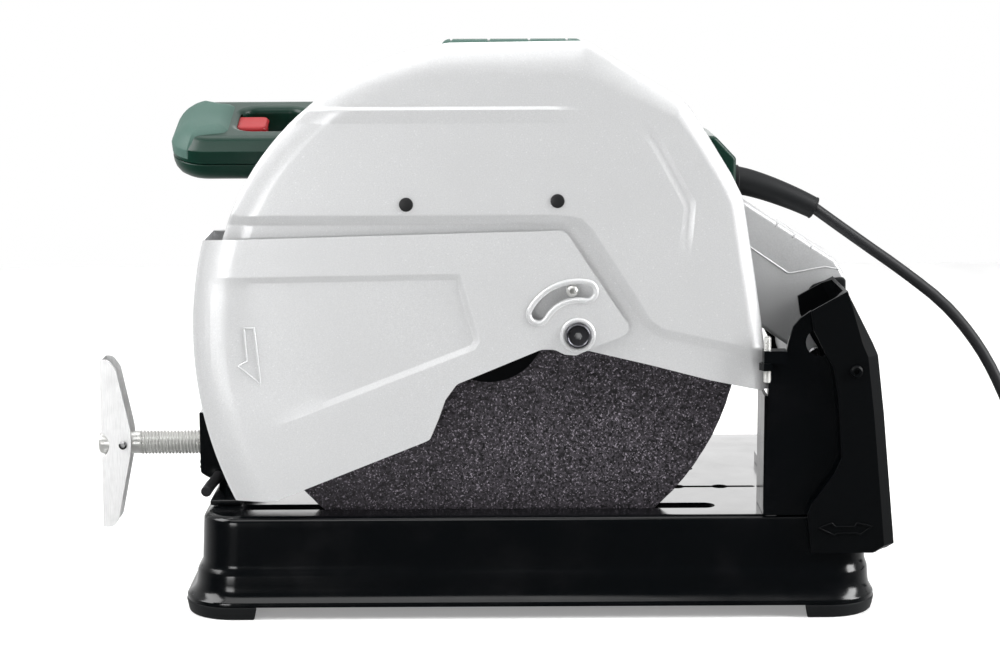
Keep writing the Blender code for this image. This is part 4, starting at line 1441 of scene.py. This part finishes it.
def make_brush_covers():
    """A screwed cover over each brush, on opposite sides of the motor."""
    for name, side in (("front", -1), ("rear", 1)):
        start = MOTOR[0] + side * 49
        profile = [(0, start), (9, start), (9, start + 6 * side), (8.2, start + 7.2 * side),
                   (7, start + 7.5 * side), (0, start + 7.5 * side)]
        slot = block(sorted((start + 5.6 * side, start + 9 * side)), (193, 207), (MOTOR[1] - 1, MOTOR[1] + 1))
        piece("brush_cover_" + name, turned(profile, (200, MOTOR[1]), "X", 40), "plastic", "head",
              "brush_cap_" + name, cuts=[slot])


def make_motor_screws():
    profile = [(0, 260.6), (3.4, 260.6), (3.8, 260.1), (3.8, 255), (0, 255)]
    for k in range(4):
        x, z = at_angle(MOTOR, 44.5, 45 + 90 * k)
        piece(f"motor_cap_screw_{k}", turned(profile, (x, z), steps=24), "steel", "head",
              cuts=[block((x - 3, x + 3), (260, 262), (z - 0.5, z + 0.5))])


# ---- handle ----

HANDLE_ROLL = math.radians(15)
HANDLE_HINGE = (50, 317)  # Y and Z of the line that the handle is rolled about
HANDLE_FAR_ARC = (-200, 108)
HANDLE_NEAR_ARC = (-200, 68)


def rolled(shape):
    hinge = Matrix.Translation((0, *HANDLE_HINGE))
    return shifted(shape, hinge @ Matrix.Rotation(HANDLE_ROLL, 4, "X") @ hinge.inverted())


def handle_half(levels):
    """Half of the D-shaped handle: levels are (height, how far it is drawn in)."""
    inner_end = [(-117.6, 40), (-117.6, 136)]
    plan = arc(HANDLE_NEAR_ARC, 28, 180, 270, 16) + inner_end + arc(HANDLE_FAR_ARC, 28, 90, 180, 16)
    return rolled(stacked(plan, levels))


def handle_opening(seam, face, flare):
    """A cutter for the hand's opening, with a round edge at the face."""
    up = 1 if face > seam else -1
    levels = [(seam - up, 0)]
    for k in range(7):
        turn = math.pi / 2 * k / 6
        levels.append((face - up * flare * (1 - math.sin(turn)), flare * (1 - math.cos(turn))))
    levels.append((face + up * 6, flare))
    rings = []
    for z, grow in levels:
        outline = rounded(-181 - grow, -136 + grow, 64 - grow, 112 + grow, 12 + grow, 8)
        rings.append([(x, y, z) for x, y in outline])
    return rolled(loft(rings))


def shrunk(outline, by):
    """The outline scaled about its middle, so that its box loses a width on every side."""
    low, high = np.min(outline, axis=0), np.max(outline, axis=0)
    centre, half = (low + high) / 2, (high - low) / 2
    return [tuple(centre + (np.array(p) - centre) * (1 - by / half)) for p in outline]


def make_handle_shells():
    """The upper and lower half of the handle, with a shared pocket for the trigger."""
    pocket = rolled(block((-197, -178), (75.5, 104.5), (308.5, 332)))
    upper = [(316.3, 0.6), (316.8, 0), (325.6, 0), (326.4, 0.4), (331.6, 5.6), (333.2, 7.4), (333.9, 9.4),
             (334.1, 12)]
    lower = [(301, 15), (301.3, 11.5), (302.6, 7.6), (305, 4), (308.4, 1.6), (312, 0.4), (315.3, 0),
             (315.8, 0.6)]
    piece("handle_upper", handle_half(upper), "green", "head", "handle_upper_shell",
          cuts=[handle_opening(316.3, 334.1, 5), pocket.copy()], angle=24)
    piece("handle_lower", handle_half(lower), "green", "head", "handle_lower_shell",
          cuts=[handle_opening(315.8, 301, 6), pocket], angle=24)


def make_soft_cover():
    """The soft grip over the handle's end, with grooves round its far corner."""
    plan = arc(HANDLE_NEAR_ARC, 28.7, 180, 238, 12) + [(-184, 52), (-180.6, 58), (-180.6, 118), (-184, 124)]
    plan = fillet(plan, [0] * 13 + [5, 5, 5, 5], 4) + arc(HANDLE_FAR_ARC, 28.7, 122, 180, 12)
    levels = [(318.5, 1.6), (319, 0.4), (325.2, 0), (326.2, 0.3), (330.2, 2.8), (333.4, 5.6), (335.9, 9),
              (337.5, 13), (338, 17)]
    cover = rolled(stacked(plan, levels, narrow=shrunk))
    grooves = []
    for angle in (106, 124, 142, 160, 178):
        groove = prism([(20.5, 341), (30.5, 341), (30.5, 318), (27.2, 318)], -0.9, 0.9)
        turn = Matrix.Translation((*HANDLE_FAR_ARC, 0)) @ Matrix.Rotation(math.radians(angle), 4, "Z")
        grooves.append(shifted(groove, turn))
    piece("handle_soft_cover", cover, "grip", "head", cuts=[rolled(joined(*grooves))], edge=0.35, angle=28)


def make_trigger():
    """The trigger, with a dish for the finger."""
    outline = fillet([(-189.5, 77), (-160.4, 77), (-160.4, 103), (-189.5, 103)], [2, 6, 6, 2], 5)
    lever = pillow(outline, 310, 331, 3.4, "Z")
    dish = shifted(rod(26, -16, 16, (0, 0), "Y", 64), Matrix.Translation((-136.2, 90, 320)))
    piece("switch_trigger", rolled(lever), "red", "trigger_slide", "trigger", cuts=[rolled(dish)], angle=30)


def make_handle_screws():
    for k, (x, y) in enumerate(((-150, 46), (-126, 52), (-150, 128), (-126, 124))):
        bolt = turned([(0, 303.8), (2.9, 303.8), (2.9, 302.5), (2, 301.3), (0, 301.3)], (x, y), "Z", 24)
        piece(f"handle_screw_{k}", rolled(bolt), "steel", "head")


def make_switch_housing():
    """The switch box, hollow inside, and a material for the switch in it."""
    side = [(-117, 300), (150, 300), (160, 285.8), (178.3, 285.8), (178.3, 316), (163, 332), (-117, 333)]
    outline = fillet(side, [2, 4, 4, 3, 4, 6, 2], 4)
    hollow = prism(rectangle(-112, 145, 290, 329), 50, 122)
    piece("switch_case", pillow(outline, 46, 126, 3, steps=4), "green", "head", "switch_housing",
          cuts=[hollow], angle=30)
    keep("plastic", "switch_module", edge=1)


def make_carry_handle():
    """The hoop on top, with a soft pad."""
    low, high = corners_of("carry_handle")
    top = high.z
    hoop = fillet([(84, 333.6), (69, top), (-33, top), (-48, 333.6)], [0, 12, 12, 0], 8)
    hand = fillet([(60, 345), (50, 384), (-14, 384), (-24, 345)], [6, 8, 8, 6], 6)
    piece("carry_hoop", pillow(hoop, low.y, high.y, 4, steps=4), "green", "head",
          "carry_handle", cuts=[prism(hand, 40, 76)], angle=30)
    pad = fillet([(70, top - 9), (67.5, top + 0.6), (-31.5, top + 0.6), (-35, top - 9)], [3, 7, 7, 3], 6)
    ribs = [rod(1.1, low.y - 1, high.y + 1, (x, top + 0.7), steps=16) for x in (-26, 1, 30, 57)]
    piece("carry_soft_pad", pillow(pad, low.y - 0.7, high.y + 0.7, 4, steps=4), "grip",
          "head", cuts=[joined(*ribs)], angle=30)


# ---- strain relief and plug ----


def make_strain_relief():
    """A sleeve that narrows to a small lip, with a collar at the switch box."""
    y = CORD_ROUTE[0][1]
    route = [(179.5, 297.2), (190, 295.2), (202, 291.6), (214, 287.2), (227, 281.8), (239.6, 275.8)]
    line = smooth_line([(x, y, z) for x, z in route], 3)
    sizes = [10.6 - 2.6 * (i / (len(line) - 1)) ** 0.8 for i in range(len(line))]
    last, back = line[-1], line[-2]
    run = (last - back).normalized()
    line[-1:] = [last - run * 1.8, last - run * 1.5, last - run * 0.5, last, last]
    sizes[-1:] = [sizes[-1], sizes[-1] + 0.35, sizes[-1] + 0.35, sizes[-1] - 0.5, 4.6]
    body = swept(line, sizes, 40)
    collar = rod(11.6, 178.7, 183.4, (y, 296.6), "X", 48, 0.8)
    piece("relief_sleeve", joined(body, collar), "rubber", "head", "strain_relief", angle=35)


def make_plug():
    """A two-pin plug with a ribbed boot."""
    low, high = corners_of("plug")
    x = (low.x + high.x) / 2
    start = low.y
    outline = fillet([(x - 15, 0.6), (x + 15, 0.6), (x + 15, 27), (x - 15, 27)], [5, 5, 9, 9], 6)
    levels = [(12, 6), (13, 4.4), (17, 2.6), (26, 0.8), (40, 0), (58, 0), (60.6, 0.6), (62, 2.2)]
    body = stacked(outline, [(start + along, by) for along, by in levels], "Y")
    grooves = [block((x + side - 1, x + side + 1), (start + 24 + 5 * k, start + 26 + 5 * k), (6, 22))
               for side in (-15, 15) for k in range(6)]
    piece("plug_body", body, "plastic", "saw", "plug", cuts=[joined(*grooves)], edge=0.3)
    profile = [(4.4, start)]
    for k in range(4):
        at, grow = start + 1 + 3.2 * k, 0.3 * k
        profile += [(5.6 + grow, at), (5.6 + grow, at + 2), (4.8 + grow, at + 2.4), (4.8 + grow, at + 3)]
    profile += [(7, start + 15), (4.4, start + 15)]
    piece("plug_boot", turned(profile, (x, PLUG_AXIS), steps=32, ring=True), "rubber", "saw")
    for name, side in (("one", -9.5), ("two", 9.5)):
        at = (x + side, PLUG_AXIS)
        sleeve = rod(2.4, start + 60, start + 71, at, edge=0.3)
        pin = [(0, start + 60), (2.35, start + 60), (2.35, start + 79), (1.4, start + 80.8), (0, start + 81)]
        piece("plug_sleeve_" + name, sleeve, "plastic", "saw")
        piece("plug_pin_" + name, turned(pin, at), "steel", "saw")


# ---- the head's hinge ----


def make_hinge():
    """Materials for the hinge, and the transport lock with its fluted knob."""
    keep("gloss", "tilt_bracket", edge=1.0)
    keep("steel", "tilt_shaft", edge=0.4)
    keep("spring", "return_spring", edge=0)
    at = flat("lock_pin")
    start, end = [corner.y for corner in corners_of("lock_pin")]
    pin = [(0, start), (3.2, start), (4, start + 0.8), (4, end - 13), (8.6, end - 13), (9.6, end - 12),
           (10, end - 10), (10, end - 2.4), (9.2, end - 0.8), (7.6, end), (0, end)]
    grooves = [rod(0.9, end - 11, end - 1, at_angle(at, 10.2, 22.5 * k), steps=10) for k in range(16)]
    piece("lock_knob", turned(pin, at, steps=64), "red", "lock_pin_slide", "lock_pin",
          cuts=[joined(*grooves)])


# ---- all of it ----


make_camera()
make_lights()
make_world()
make_floor()
cord, cord_path = make_cord()
make_fixed_guard()
make_guard_ring()
make_guard_screws()
make_swinging_guard()
make_guard_pivot()
make_disc()
make_base()
make_feet()
make_spark_guard()
make_depth_stop()
make_vise_screw()
make_vise_body()
make_vise_jaw()
make_fence()
make_arm()
make_gearbox()
make_motor_barrel()
make_motor_cap()
make_brush_covers()
make_motor_screws()
make_handle_shells()
make_soft_cover()
make_trigger()
make_handle_screws()
make_switch_housing()
make_carry_handle()
make_strain_relief()
make_plug()
make_hinge()
